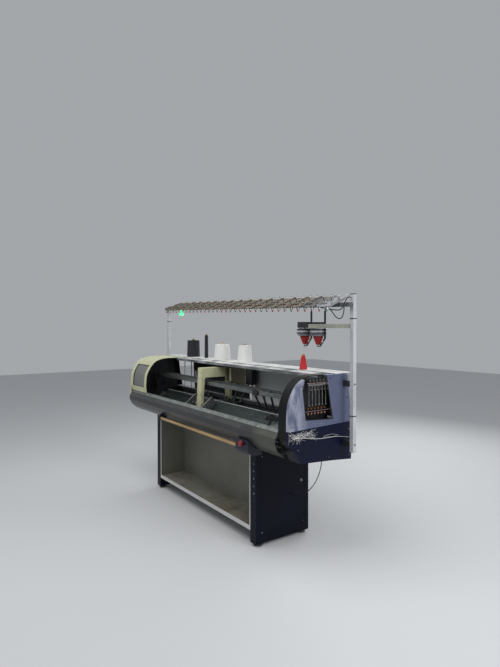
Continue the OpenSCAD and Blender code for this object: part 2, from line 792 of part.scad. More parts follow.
module belt_loop(r, y0, y1) {
    block(-pulley_x, pulley_x, y0, y1, pulley_z - r, pulley_z + r);
    for (x = [-pulley_x, pulley_x])
        rod_y(x, y0, y1, pulley_z, r);
}
module drive_belt() {
    color("#1e1e20")
        difference() {
            belt_loop(pulley_r + 3.3, belt_y, belt_y + belt_w);
            belt_loop(pulley_r + 0.3, belt_y - 1, belt_y + belt_w + 1);
        }
}

// Control cabinet between the pedestals at the rear
cabinet_x = 770;
cabinet_front = 120;
cabinet_rear = 342;
module control_cabinet() {
    color("#2b3046") {
        difference() {
            block(-cabinet_x, cabinet_x, cabinet_front, cabinet_rear, 180, 640);
            block(-cabinet_x + 60, cabinet_x - 60, cabinet_rear - 3, cabinet_rear + 1, 200, 203);
            block(-cabinet_x + 60, cabinet_x - 60, cabinet_rear - 3, cabinet_rear + 1, 617, 620);
            for (x = [-cabinet_x + 60, -1.5, cabinet_x - 63])
                block(x, x + 3, cabinet_rear - 3, cabinet_rear + 1, 200, 620);
        }
        // Cooling louvres
        for (x = [-560, 360], k = [0 : 5])
            along_x(x, x + 200)
                polygon([[cabinet_rear - 1, 260 + k * 22], [cabinet_rear + 12, 260 + k * 22],
                    [cabinet_rear - 1, 275 + k * 22]]);
    }
}

// Storage feeders on the short rail: motor head, pin, guide arm and ring
module storage_feeders() {
    color("#1b1b1e")
        for (x = store_x) {
            rod_z(x, store_y, drum_top + 4, drum_top + 42, head_r);
            rod_z(x, store_y, drum_top - 122, drum_top + 5, drum_pin);
            // Pad on the rail
            block(x + 30, x + 52, mid_rail_y + mid_rail_t, store_y, drum_top + 8, drum_top + 24);
            // Stem beside the drum, bent to a foot under the drum
            translate([x, store_y + 5, drum_top]) rotate([90, 0, 0])
                linear_extrude(height = 10) polygon([[stem_x - 5, stem_top - drum_top],
                    [stem_x + 5, stem_top - drum_top],
                    [stem_x + 5, -72], [22, -132], [-10, -132], [-10, -126], [18, -126],
                    [stem_x - 5, -70]]);
            block(x + head_r - 6, x + stem_x, store_y - 5, store_y + 5, drum_top + 10,
                drum_top + 22);
        }
    // Plate that carries the first feeder at the rail's end
    color("#1b1b1e")
        block(store_x[0] - 5, mid_rail_start, mid_rail_y, mid_rail_y + mid_rail_t,
            drum_top + 2, drum_top + 44);
}
module drum(x) {
    translate([x, store_y, 0])
        difference() {
            rotate_extrude() polygon([[0, drum_top - 118], [12, drum_top - 118],
                [34, drum_top - 58], [drum_r - 8, drum_top - 55], [drum_r - 8, drum_top - 46],
                [drum_r, drum_top - 42], [drum_r, drum_top - 30], [drum_r - 5, drum_top - 28],
                [drum_r - 5, drum_top - 18], [drum_r, drum_top - 16], [drum_r, drum_top - 4],
                [drum_r - 6, drum_top], [0, drum_top]]);
            translate([0, 0, drum_top - 130]) cylinder(h = 140, r = drum_pin + fit);
        }
}
module storage_drum_1() { color("#8a8a8c") drum(store_x[0]); }
module storage_drum_2() { color("#8a8a8c") drum(store_x[1]); }

// Yarn packages that stand on the table: tapered windings on paper tubes
module yarn_package(x, y, r_low, r_high, h) {
    translate([x, y, table_z])
        rotate_extrude() polygon([[0, 0], [r_low - 3, 0], [r_low, 4], [r_high + 2, h - 16],
            [r_high - 3, h - 12], [14, h - 12], [12, h], [0, h]]);
}
module white_cones() {
    color("#e4e4e0") {
        yarn_package(-276, 204, 80, 66, 160);
        yarn_package(84, 216, 67, 55, 158);
    }
}
module dark_cones() {
    color("#1b1c1f") {
        yarn_package(-866, 216, 67, 61, 184);
        yarn_package(-596, 216, 19, 15, 236);
    }
    color("#a8262c") yarn_package(952, 145, 30, 15, 108);
}

// Leads that the machine holds along their whole length
lead_start = stem_top + 0.3;
lead_end = top_rail_z - (1352 + post_x) * tan(rail_slope) - top_rail_h / cos(rail_slope) - 0.2;
lead_1 = [[store_x[0] + stem_x, store_y, lead_start],
    [store_x[0] + stem_x, store_y, post_top - 94], [1076, 122, post_top - 82],
    [1096, 127, post_top - 77], [1130, 134, post_top - 79], [1180, 140, post_top - 87],
    [1240, 144, post_top - 97], [1300, 145, post_top - 104], [1338, 144, post_top - 98],
    [1362, 138, post_top - 78], [1379, 138, post_top - 50], [1389, 146, post_top - 28],
    [1392, 162, post_top - 20], [1392, post_y - post_w / 2 - 0.2, post_top - 20]];
lead_2 = [[store_x[1] + stem_x, store_y, lead_start],
    [store_x[1] + stem_x, store_y, post_top - 100], [1214, 121, post_top - 92],
    [1230, 124, post_top - 90], [1250, 127, post_top - 99], [1270, 130, post_top - 120],
    [1292, 134, post_top - 146], [1318, 138, post_top - 162], [1340, 144, post_top - 158],
    [1350, 150, post_top - 136], [1352, 156, post_top - 104], [1352, 156, lead_end]];
lead_3 = [[lead_x, lead_y, pulley_z - 37.2], [lead_x, lead_y, 790], [lead_x, lead_y, 730],
    [lead_x - 2, lead_y, 680], [1222, 64, 620], [1185, 72, 550], [1130, 84, 480],
    [1050, 98, 410], [960, 112, 362], [890, 124, 332], [pedestal_x + 0.2, 124, 332]];
function turn_at(p, i) = unit(p[min(i + 1, len(p) - 1)] - p[max(i - 1, 0)]);
function across(t) = unit(cross(t, abs(t[1]) < 0.9 ? [0, 1, 0] : [1, 0, 0]));
function ring_points(c, t, r, n) =
    let (u = across(t), v = cross(t, u))
    [for (k = [0 : n - 1]) c + r * (cos(360 * k / n) * u + sin(360 * k / n) * v)];
module lead(p, r) {
    n = 8;
    m = len(p);
    points = [for (i = [0 : m - 1]) each ring_points(p[i], turn_at(p, i), r, n)];
    sides = [for (i = [0 : m - 2], k = [0 : n - 1])
        [i * n + k, i * n + (k + 1) % n, (i + 1) * n + (k + 1) % n, (i + 1) * n + k]];
    polyhedron(points, concat([[for (k = [n - 1 : -1 : 0]) k]], sides,
        [[for (k = [0 : n - 1]) (m - 1) * n + k]]));
}
module cables() {
    color("#141416") {
        lead(lead_1, 3.5);
        lead(lead_2, 3.5);
        lead(lead_3, 3);
    }
}

left_pedestal();
right_pedestal();
levelling_feet();
bed_casting();
front_needle_bed();
front_cover();
front_ledge();
left_end_cover();
left_arch();
right_end_upper();
right_end_lower();
right_arch_band();
yarn_table();
rear_lower_cover();
stand_posts();
storage_rail();
tensioner_rail();
top_tensioners();
signal_lamp();
side_tension_right();
side_tension_left();
feeder_rails();
feeder_rail_brackets();
takedown_brackets();
fabric_tray();
bar_brackets();
drive_motor();
drive_belt();
control_cabinet();
storage_feeders();
white_cones();
dark_cones();
cables();
carriage_bridge();
front_cam_box();
rear_cam_box();
carriage_box();
feeder_1();
feeder_2();
feeder_3();
feeder_4();
feeder_5();
feeder_6();
rear_needle_bed();
takedown_roller();
pinch_roller();
operating_bar();
stop_button();
storage_drum_1();
storage_drum_2();
drive_pulley();
idler_pulley();
rear_door_left();
rear_door_right();
spring_arm_1();
spring_arm_2();
spring_arm_3();
spring_arm_4();
spring_arm_5();
spring_arm_6();
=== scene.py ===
import math
import random

import bmesh
import bpy
from mathutils import Matrix, Vector


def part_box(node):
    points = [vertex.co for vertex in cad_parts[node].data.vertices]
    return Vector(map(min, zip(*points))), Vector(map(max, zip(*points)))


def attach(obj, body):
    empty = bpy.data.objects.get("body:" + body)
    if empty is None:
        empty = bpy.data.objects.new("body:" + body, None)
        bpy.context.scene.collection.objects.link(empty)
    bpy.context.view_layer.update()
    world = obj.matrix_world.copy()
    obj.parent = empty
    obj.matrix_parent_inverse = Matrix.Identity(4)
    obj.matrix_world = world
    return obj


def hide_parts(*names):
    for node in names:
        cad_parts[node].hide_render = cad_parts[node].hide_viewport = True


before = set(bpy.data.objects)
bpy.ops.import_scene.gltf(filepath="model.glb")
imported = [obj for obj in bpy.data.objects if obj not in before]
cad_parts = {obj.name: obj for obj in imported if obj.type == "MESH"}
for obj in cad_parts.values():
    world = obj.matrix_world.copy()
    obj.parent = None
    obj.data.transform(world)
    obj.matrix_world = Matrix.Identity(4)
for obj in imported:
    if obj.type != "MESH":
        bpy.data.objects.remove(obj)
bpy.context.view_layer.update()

# ---- Camera, light and floor ----
# The photo was taken at head height from beyond the right end, looking a little down.
eye = Vector((3.696, -2.285, 1.613))
look = Vector((-0.816, 0.578, -0.0154))
photo_h, focal_px = 667, 490.0
scene = bpy.context.scene
scene.view_settings.view_transform = "Standard"
camera = bpy.data.objects.new("camera", bpy.data.cameras.new("camera"))
camera.data.lens = camera.data.sensor_width * focal_px / photo_h
camera.location = eye
camera.rotation_euler = look.to_track_quat("-Z", "Y").to_euler()
scene.collection.objects.link(camera)
scene.camera = camera

world = bpy.data.worlds.new("world")
world.use_nodes = True
sky = world.node_tree.nodes["Background"].inputs
sky["Color"].default_value = (0.80, 0.83, 0.87, 1)
sky["Strength"].default_value = 0.46
scene.world = world
for name, place, target, spread, power in [
    ("light_top", (0.6, -1.6, 4.2), (0.2, 0.0, 0.9), 3.4, 105),
    ("light_right", (4.2, 0.6, 2.9), (1.3, 0.0, 0.9), 2.0, 55),
    ("light_back", (-0.8, 4.0, 3.2), (0.0, 0.2, 1.3), 3.0, 80),
]:
    lamp = bpy.data.objects.new(name, bpy.data.lights.new(name, "AREA"))
    lamp.data.shape, lamp.data.size, lamp.data.energy = "DISK", spread, power
    lamp.location = place
    lamp.rotation_euler = (Vector(target) - Vector(place)).to_track_quat("-Z", "Y").to_euler()
    scene.collection.objects.link(lamp)

floor_half = 14
floor_corners = [(a * floor_half, b * floor_half, 0) for a, b in ((-1, -1), (1, -1), (1, 1), (-1, 1))]
floor_mesh = bpy.data.meshes.new("floor")
floor_mesh.from_pydata(floor_corners, [], [(0, 1, 2, 3)])
floor = bpy.data.objects.new("floor", floor_mesh)
scene.collection.objects.link(floor)
floor_paint = bpy.data.materials.new("floor")
floor_paint.use_nodes = True
floor_surface = floor_paint.node_tree.nodes["Principled BSDF"].inputs
floor_surface["Base Color"].default_value = (0.60, 0.61, 0.62, 1)
floor_surface["Roughness"].default_value = 0.75
floor.data.materials.append(floor_paint)

# ---- Pedestals ----
# Two folded steel boxes in very dark navy paint carry the machine. A row of small plugs runs
# down the front edge, and a quarter-turn lock closes the service door on the outer side.


def tone(red, green, blue):
    """A colour read off the photo, as the shader needs it."""
    return tuple(((c / 255 + 0.055) / 1.055) ** 2.4 for c in (red, green, blue)) + (1.0,)


class Value:
    """A shader socket on which sums and products add math nodes."""

    def __init__(self, shade, socket):
        self.shade, self.socket = shade, socket

    def math(self, operation, *others):
        return self.shade.node("ShaderNodeMath", {"operation": operation}, dict(enumerate((self, *others))))

    def __add__(self, other):
        return self.math("ADD", other)

    def __mul__(self, other):
        return self.math("MULTIPLY", other)

    def __sub__(self, other):
        return self.math("SUBTRACT", other)

    def __rsub__(self, other):
        return self * -1.0 + other

    __radd__, __rmul__ = __add__, __mul__


class Shade:
    """One material: each call adds what the real surface has, or painted light and shade, and on() puts it on
    pieces.
    """

    def __init__(self, name, colour, roughness, metallic=0.0):
        self.material = bpy.data.materials.new(name)
        self.material.use_nodes = True
        self.tree = self.material.node_tree
        self.surface = self.tree.nodes["Principled BSDF"]
        self.place = self.node("ShaderNodeTexCoord", out="Object")
        self.colour, self.roughness, self.metallic = tone(*colour), roughness, metallic
        self.height, self.depth = None, 0.0

    def node(self, kind, settings=(), inputs=(), out=0):
        made = self.tree.nodes.new(kind)
        for key, value in dict(settings).items():
            setattr(made, key, value)
        for key, value in dict(inputs).items():
            self.put(made.inputs[key], value)
        return Value(self, made.outputs[out])

    def put(self, socket, value):
        if isinstance(value, Value):
            self.tree.links.new(value.socket, socket)
        else:
            socket.default_value = value

    def axis(self, letter, of=None):
        """One coordinate of the place on the object, or of another vector."""
        return self.node("ShaderNodeSeparateXYZ", inputs={0: of or self.place}, out=letter)

    def normal(self):
        return self.node("ShaderNodeNewGeometry", out="Normal")

    def unsigned(self, value):
        return self.node("ShaderNodeMath", {"operation": "ABSOLUTE"}, {0: value})

    def noise(self, scale, stretch=(1, 1, 1), detail=4.0):
        at = self.node("ShaderNodeVectorMath", {"operation": "MULTIPLY"}, {0: self.place, 1: stretch})
        return self.node("ShaderNodeTexNoise", inputs={"Vector": at, "Scale": scale, "Detail": detail})

    def step(self, value, low, high):
        """0 below low, 1 above high, and smooth between them."""
        return self.node("ShaderNodeMapRange", {"interpolation_type": "SMOOTHSTEP"},
                         {0: value, 1: low, 2: high})

    def facing_up(self):
        return self.step(self.axis("Z", self.normal()), 0.15, 0.9)

    def over(self, amount, colour, roughness=None):
        """colour lies over the surface where amount is near 1."""
        self.colour = self.node("ShaderNodeMix", {"data_type": "RGBA"},
                                {0: amount, 6: self.colour, 7: tone(*colour)}, out=2)
        if roughness is not None:
            self.roughness = self.node("ShaderNodeMix", {"data_type": "FLOAT"},
                                       {0: amount, 2: self.roughness, 3: roughness}, out=0)
        return self

    def mottle(self, colour, scale=6, low=0.35, high=0.75, amount=1.0, stretch=(1, 1, 1)):
        """Soft patches of a second colour."""
        return self.over(self.step(self.noise(scale, stretch), low, high) * amount, colour)

    def dust(self, amount, colour=(168, 168, 162), scale=14):
        """Lint and dust that settle on what faces up, in patches."""
        return self.over(self.facing_up() * self.step(self.noise(scale), 0.30, 0.68) * amount, colour, 0.92)

    def scuffs(self, amount, colour=(170, 172, 176), stretch=(1, 1, 9), scale=26):
        """Thin rubbed marks along one direction."""
        return self.over(self.step(self.noise(scale, stretch, 8.0), 0.60, 0.72) * amount, colour, 0.7)

    def dot(self, one, other):
        return self.node("ShaderNodeVectorMath", {"operation": "DOT_PRODUCT"}, {0: one, 1: other},
                         out="Value")

    def edge_wear_and_highlight(self, amount, colour, radius=0.004):
        """Paint rubbed off along the edges, where the rounded normal leaves the flat one; on the rails it is
        partly a painted highlight.
        """
        bent = self.node("ShaderNodeBevel", {"samples": 4}, {"Radius": radius})
        edge = self.step(1.0 - self.dot(bent, self.normal()), 0.02, 0.25)
        return self.over(edge * self.step(self.noise(40), 0.35, 0.6) * amount, colour, 0.55)

    def shine(self, level):
        """Less gloss than a fresh paint has."""
        self.surface.inputs["Specular IOR Level"].default_value = level
        return self

    def glow(self, strength):
        """The surface's own light, in its colour: a lamp's light, and on the lint a painted glow."""
        self.surface.inputs["Emission Strength"].default_value = strength
        self.put(self.surface.inputs["Emission Color"], self.colour)
        return self

    def grain(self, depth, scale, stretch=(1, 1, 1)):
        """Fine relief of the given depth in metres."""
        self.height, self.depth = self.noise(scale, stretch, 2.0), depth
        return self

    def on(self, *nodes):
        """Closes the material, puts it on the named nodes and gives it back."""
        self.put(self.surface.inputs["Base Color"], self.colour)
        self.put(self.surface.inputs["Roughness"], self.roughness)
        self.put(self.surface.inputs["Metallic"], self.metallic)
        if self.height is not None:
            bump = self.node("ShaderNodeBump", inputs={"Strength": 1.0, "Distance": self.depth,
                                                       "Height": self.height})
            self.put(self.surface.inputs["Normal"], bump)
        for name in nodes:
            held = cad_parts[name].data.materials
            held.clear()
            held.append(self.material)
        return self.material


class Form:
    """Gathers plates, turned and swept shapes in metres and makes one piece of them."""

    def __init__(self):
        self.mesh = bmesh.new()

    def skin(self, rings, closed=False):
        """Quads between rings of points, with a cap at each end unless the rings go round."""
        made = [[self.mesh.verts.new(p) for p in ring] for ring in rings]
        for a, b in zip(made, made[1:] + made[:1] if closed else made[1:]):
            for k in range(len(a)):
                j = (k + 1) % len(a)
                self.mesh.faces.new((a[k], a[j], b[j], b[k]))
        if not closed:
            self.mesh.faces.new(made[0][::-1])
            self.mesh.faces.new(made[-1])
        return self

    def plate(self, low, high, turn=Matrix()):
        """A block between two corners, turned by a matrix."""
        (x0, y0, z0), (x1, y1, z1) = low, high
        outline = ((x0, y0), (x1, y0), (x1, y1), (x0, y1))
        return self.skin([[turn @ Vector((x, y, z)) for x, y in outline] for z in (z0, z1)])

    def turned(self, profile, at, axis="Z", sides=20):
        """A profile of (radius, height) pairs turned about an axis: a letter, and the point that the
        axis goes through, or a matrix that does both."""
        facing = {"X": Matrix.Rotation(math.pi / 2, 4, "Y"), "Y": Matrix.Rotation(-math.pi / 2, 4, "X"),
                  "-Y": Matrix.Rotation(math.pi / 2, 4, "X"), "-X": Matrix.Rotation(-math.pi / 2, 4, "Y"),
                  "Z": Matrix(), "-Z": Matrix.Rotation(math.pi, 4, "X")}
        turn = axis if isinstance(axis, Matrix) else Matrix.Translation(at) @ facing[axis]
        angles = [2 * math.pi * k / sides for k in range(sides)]
        return self.skin([[turn @ Vector((max(r, 1e-5) * math.cos(a), max(r, 1e-5) * math.sin(a), h))
                           for a in angles] for r, h in profile])

    def swept(self, path, radius, sides=6, closed=False):
        """A round wire along a path of points."""
        path = [Vector(p) for p in path]
        rings, n = [], len(path)
        side = None
        for i, p in enumerate(path):
            ahead = path[(i + 1) % n] if closed else path[min(i + 1, n - 1)]
            behind = path[i - 1] if closed or i else path[0]
            along = (ahead - behind).normalized()
            if side is None:
                side = along.orthogonal().normalized()
            side = (side - along * side.dot(along)).normalized()
            other = along.cross(side)
            rings.append([p + radius * (math.cos(2 * math.pi * k / sides) * side
                                        + math.sin(2 * math.pi * k / sides) * other) for k in range(sides)])
        return self.skin(rings, closed=closed)

    def screw(self, at, axis, r=0.0045):
        """A socket screw's head."""
        return self.turned([(r, -0.0004), (r, r * 0.55), (r * 0.86, r * 0.8), (r * 0.52, r * 0.8),
                            (r * 0.48, r * 0.25), (0, r * 0.25)], at, axis, 14)

    def piece(self, name, material, body="machine", slot=None, soft=True):
        """Makes the piece, which rides on a body and takes the given material. The slot is not used."""
        bmesh.ops.recalc_face_normals(self.mesh, faces=self.mesh.faces)
        data = bpy.data.meshes.new(name)
        self.mesh.to_mesh(data)
        self.mesh.free()
        data.materials.append(material)
        made = bpy.data.objects.new(name, data)
        scene.collection.objects.link(made)
        if soft:
            data.shade_smooth()
            data.set_sharp_from_angle(angle=math.radians(35))
        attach(made, body)
        return made


navy = Shade("navy_paint", (4, 8, 24), 0.42)
navy.mottle((8, 13, 32), 3).scuffs(0.2, (30, 36, 56)).dust(0.3, (76, 78, 84))
navy.edge_wear_and_highlight(0.3, (56, 62, 78)).grain(0.0003, 300).shine(0.15)
navy.on("left_pedestal", "right_pedestal")
zinc = Shade("zinc_screws", (150, 150, 146), 0.38, 1.0).mottle((96, 94, 90), 60).on()
pedestal_side = 0.838
lock_profile = [(0.011, -0.0005), (0.011, 0.003), (0.0095, 0.004), (0.0030, 0.004), (0.0028, 0.001),
                (0, 0.001)]
locks = Form()
for side, outward in ((-1, "-X"), (1, "X")):
    locks.turned(lock_profile, (side * pedestal_side, 0.225, 0.42), outward)
    for z in (0.10, 0.66):
        for y in (-0.155, 0.245):
            locks.screw((side * pedestal_side, y, z), outward, 0.005)
locks.piece("door_locks", zinc, slot="steel")
plug_x, plug_y, plug_low, plug_pitch, plug_count = 0.822, -0.2150, 0.395, 0.054, 5
plug_profile = [(0.0056, -0.0004), (0.0056, 0.0006), (0.0044, 0.0012), (0.0020, 0.0012), (0.0016, 0.0004),
                (0, 0.0004)]
plug_grey = Shade("plug_grey", (150, 152, 150), 0.45).mottle((96, 98, 98), 90).on()
plug_caps = Form()
for side in (-1, 1):
    for i in range(plug_count):
        plug_caps.turned(plug_profile, (side * plug_x, plug_y, plug_low + i * plug_pitch), "-Y", 14)
plug_caps.piece("plug_caps", plug_grey, slot="stand_white")

# ---- Levelling feet ----
# Turned steel discs on screws with a lock nut, so that the machine can be set level. They are
# dull and dusty from the floor.
Shade("foot_steel", (70, 72, 76), 0.5, 0.6).mottle((100, 98, 92), 30).dust(0.7).on("levelling_feet")

# ---- Bed casting and roller brackets ----
# Machined cast iron, painted grey and dulled by oil and fluff. The brackets are bolted below the
# casting and hold the rollers' bearings.
casting = Shade("casting_grey", (52, 56, 58), 0.55, 0.15)
casting.mottle((38, 40, 42), 5).dust(0.3).grain(0.0006, 160)
casting.on("bed_casting", "takedown_brackets")

# ---- Needle beds ----
# Ground steel plates, oiled to a teal grey, with latch needles in the slots. Their hooks
# stand in two rows over the gap, and their butts stick up where the cams run.
bed = Shade("bed_steel", (62, 78, 76), 0.34, 0.75)
bed.mottle((44, 58, 57), 4, stretch=(0.4, 2, 2)).mottle((100, 112, 108), 30, 0.55, 0.8, 0.5, (6, 1, 1))
bed.dust(0.2, (130, 138, 132), 40).grain(0.0002, 900, (3, 0.4, 0.4))
bed.on("front_needle_bed", "rear_needle_bed")
needle_steel = Shade("needle_steel", (158, 163, 161), 0.36, 1.0).mottle((112, 116, 114), 90).on()
edge_steel = Shade("edge_steel", (214, 218, 216), 0.3, 0.6)
edge_steel.mottle((170, 174, 172), 60, stretch=(0.2, 1, 1)).on()
slots_in_bed, slot_pitch, bed_half = 100, 0.020, 1.0
needle_pitch, needle_half, needle_length, needle_height = 0.0029, 0.0006, 0.135, 0.0022
bed_angle = math.pi / 4
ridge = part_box("front_needle_bed")[1].z
hook_path = ((0.006, 0.001), (0.0005, 0.001), (-0.0008, 0.0022), (0.0008, 0.0031))
ridge_profile = ((0.0050, -0.0003), (0.0052, 0.0010), (0.0066, 0.0010), (0.0082, -0.0034))


def needle(rows, top, down, out, butt):
    """One needle from its hook down the slot, with the butt at its distance from the hook."""
    shank, heel = (0.004, needle_length, 0.0, needle_height), (butt, butt + 0.003, 0.0021, 0.0062)
    for start, end, low, high in (shank, heel):
        section = [Vector((e * needle_half, 0, 0)) + out * h
                   for e, h in ((-1, low), (1, low), (1, high), (-1, high))]
        rows.skin([[top + down * s + p for p in section] for s in (start, end)])
    rows.swept([top + down * s + out * h for s, h in hook_path], 0.0005, 4)


for name, side, body in (("front_needles", -1, "machine"), ("rear_needles", 1, "rear_bed")):
    rows = Form()
    down = Vector((0, side * math.cos(bed_angle), -math.sin(bed_angle)))
    out = Vector((0, side * math.sin(bed_angle), math.cos(bed_angle)))
    seat_z = ridge + (0.0003 if side > 0 else 0)
    for i in range(slots_in_bed):
        for k in (-1, 0, 1):
            x = -bed_half + (i + 0.5) * slot_pitch + k * needle_pitch
            top = Vector((x, side * 0.005, seat_z)) - out * 0.0034
            needle(rows, top, down, out, 0.060 if (i * 3 + k) % 7 else 0.052)
    rows.piece(name, needle_steel, body, "steel")
    edge = Form().skin([[(x, side * y, ridge + z) for y, z in ridge_profile] for x in (-bed_half, bed_half)])
    edge.piece(f"{name}_ridge", edge_steel.material, body, "steel", soft=False)

# ---- Front cover, its bevelled ledge and the blank plate ----
# One long bulging steel sheet in dark grey paint, rubbed by hands. A pale bevelled ledge runs
# along its top and carries a small dark plate without words.
front = Shade("front_cover", (46, 49, 50), 0.36)
front.mottle((58, 58, 57), 2.2, stretch=(0.5, 2, 2)).scuffs(0.3, (92, 94, 92), (9, 1, 1), 9)
front.over(front.step(front.axis("X"), 0.88, 1.06) * 0.5, (84, 86, 72), 0.5)
front.dust(0.25, (120, 122, 118)).edge_wear_and_highlight(0.4, (120, 122, 118)).grain(0.0003, 260)
front.on("front_cover")
ledge = Shade("ledge_grey", (118, 126, 122), 0.36, 0.45)
ledge.mottle((92, 98, 96), 3, stretch=(0.6, 4, 4)).scuffs(0.5, (176, 180, 174), (11, 1, 1), 8)
ledge.dust(0.35, (176, 178, 172)).on("front_ledge")
plate_dark = Shade("blank_plate", (42, 42, 48), 0.4).mottle((56, 54, 60), 30).on()
slope = Matrix.Translation((0.80, -0.322, 0.880)) @ Matrix.Rotation(-math.atan2(0.022, 0.035), 4, "X")
blank_plate = Form().plate((0, -0.0012, 0.006), (0.135, 0.0006, 0.030), slope)
blank_plate.piece("front_plate", plate_dark, soft=False)

# ---- Right end cover ----
# Deep-drawn panels: blue-grey above with a five-sided window, navy below, both scuffed and with
# lint. A black ring lies between the cover and the open front.
upper = Shade("blue_grey_cover", (86, 94, 122), 0.45)
upper.mottle((98, 107, 134), 2.5).mottle((72, 80, 106), 5, 0.55, 0.8, 0.7)
rubbed = upper.step(upper.axis("Y") * -1.0, 0.12, 0.24) * upper.step(upper.noise(18, (1, 1, 0.3)), 0.35, 0.62)
upper.over(rubbed * 0.6, (188, 192, 206), 0.6)
upper.scuffs(0.2, (196, 198, 208)).dust(0.5).edge_wear_and_highlight(0.55, (190, 194, 204)).grain(0.0003, 240)
upper.on("right_end_upper")
lower = Shade("navy_cover", (7, 13, 38), 0.42)
lower.mottle((11, 19, 48), 3).scuffs(0.15, (60, 68, 94)).dust(0.15, (110, 114, 124))
lower.edge_wear_and_highlight(0.3, (76, 82, 102)).grain(0.0003, 240).shine(0.2)
lower.on("right_end_lower")
rubber_trim = Shade("window_trim", (22, 22, 24), 0.6).mottle((38, 38, 40), 30).on()
end_x = 1.320
window_yz = [(-0.1655, 1.2600), (-0.1850, 1.1970), (-0.1580, 1.0010), (0.0830, 0.9850), (0.0245, 1.2820)]
trim = Form().swept([(end_x + 0.0003, y, z) for y, z in window_yz], 0.0030, 8)
trim.turned([(0.0075, -0.0005), (0.0075, 0.0015), (0.0060, 0.0030), (0, 0.0030)], (end_x, 0.190, 1.215), "X")
trim.piece("window_trim", rubber_trim, slot="cable_black")
cover_screws = Form()
for y, z in ((-0.272, 0.968), (-0.262, 1.120), (-0.190, 1.222), (0.060, 1.262), (0.196, 1.262),
             (0.222, 1.120), (0.246, 0.975), (-0.276, 0.880), (-0.225, 0.815), (0.235, 0.900),
             (0.240, 0.720), (0.050, 0.730)):
    cover_screws.screw((end_x, y, z), "X", 0.005)
    cover_screws.screw((-end_x, y, z), "-X", 0.005)
cover_screws.piece("cover_screws", zinc, slot="steel")
# Painted light: the lint glows faintly in its own colour, so that it stays bright on faces in shade.
lint_painted_glow = Shade("lint_painted_glow", (232, 232, 230), 0.95).mottle((204, 204, 202), 200).glow(0.22).on()
strands = Form()
random.seed(7)
strand_count, strand_points, cover_front_y = 84, 7, -0.302
lint_x, lint_y, lint_z = 1.3207, -0.292, 0.882
for i in range(strand_count):
    y, z = lint_y + 0.19 * random.random() ** 1.2, lint_z + 0.040 * random.random()
    heading, path = random.gauss(-0.1, 0.55) + (math.pi if random.random() < 0.3 else 0), []
    for j in range(strand_points):
        path.append((lint_x + 0.0012 * random.random(), max(y, cover_front_y), z))
        heading += random.uniform(-0.30, 0.30)
        y, z = y + 0.010 * math.cos(heading), z + 0.007 * math.sin(heading)
    strands.swept(path, random.uniform(0.00025, 0.0005), 4)
shares = [i / 30 for i in range(31)]
long_end = [(1.3208, -0.250 + 0.49 * t, 0.890 - 0.046 * t + 0.005 * math.sin(9 * t + 1)) for t in shares]
second_end = [(x + 0.0008, y, z + 0.004 + 0.003 * math.sin(60 * y)) for x, y, z in long_end[:24]]
loose_end = [(x + 0.0006, y, z + 0.020 - 0.05 * (k / 10 - 0.4) ** 2)
             for k, (x, y, z) in enumerate(long_end[15:25])]
strands.swept(long_end, 0.0009, 5)
strands.swept(second_end, 0.0006, 5)
strands.swept(loose_end, 0.0005, 4)
strands.piece("lint_strands", lint_painted_glow, slot="white_yarn")
band = Shade("black_cover", (7, 8, 11), 0.38).mottle((12, 13, 16), 4).dust(0.2, (50, 52, 54))
black_cover = band.edge_wear_and_highlight(0.3, (54, 56, 62)).grain(0.0003, 240).shine(0.25).on("right_arch_band")
bar_brackets = Shade("bracket_navy", (16, 20, 38), 0.42).mottle((24, 28, 48), 12).dust(0.3, (110, 112, 118))
bar_brackets.edge_wear_and_highlight(0.4, (100, 104, 118)).on("bar_brackets")

# ---- Left end cover and hood ----
# The same panels in a yellowed pale cream, with near-black painted shade on their inner faces;
# the hood's sloping front has a shallow grey recess.
cream = Shade("cream_cover", (196, 196, 158), 0.46)
cream.mottle((206, 206, 172), 3).mottle((168, 168, 130), 7, 0.58, 0.8, 0.6).scuffs(0.25, (150, 148, 120))
cream.dust(0.35, (190, 190, 176)).edge_wear_and_highlight(0.4, (150, 150, 128)).grain(0.0003, 240)
along, high = cream.axis("X"), cream.axis("Z")
recess = cream.step(along, -1.2504, -1.2496) * (1.0 - cream.step(along, -0.9654, -0.9646))
recess = recess * cream.step(high, 0.9898, 0.9902) * (1.0 - cream.step(high, 1.2118, 1.2122))
cream.over(recess * 0.92, (104, 107, 108), 0.6)
# Painted shade: faces turned towards the hood's axis, and the inner faces turned to the machine, are made
# near black.
inside_painted_shade, hood_axis_z = (24, 26, 26), 1.05
from_hood_axis = cream.node("ShaderNodeVectorMath", {"operation": "MULTIPLY_ADD"},
                            {0: cream.place, 1: (0, 1, 1), 2: (0, 0, -hood_axis_z)})
inside = cream.dot(from_hood_axis, cream.normal()) * -1.0
cream.over(cream.step(inside, 0.02, 0.05), inside_painted_shade, 0.7)
facing_in = cream.step(cream.axis("X", cream.normal()), 0.4, 0.6)
cream.over(facing_in * (1.0 - cream.step(along, -1.02, -1.01)), inside_painted_shade, 0.7)
cream.on("left_end_cover", "left_arch")

# ---- Yarn table ----
# Pale enamelled sheet with a dark grey folded lip, fixed on the rear of the machine. Fluff and
# yarn dust lie on it round the packages.
table = Shade("table_sheet", (196, 200, 200), 0.5)
table.over(table.step(table.axis("Y") * -1.0, -0.1115, -0.1105), (84, 88, 90), 0.45)
table.mottle((176, 180, 182), 5).dust(0.8, (226, 226, 222), 9).scuffs(0.3, (150, 152, 152), (6, 1, 1), 12)
table.on("yarn_table")

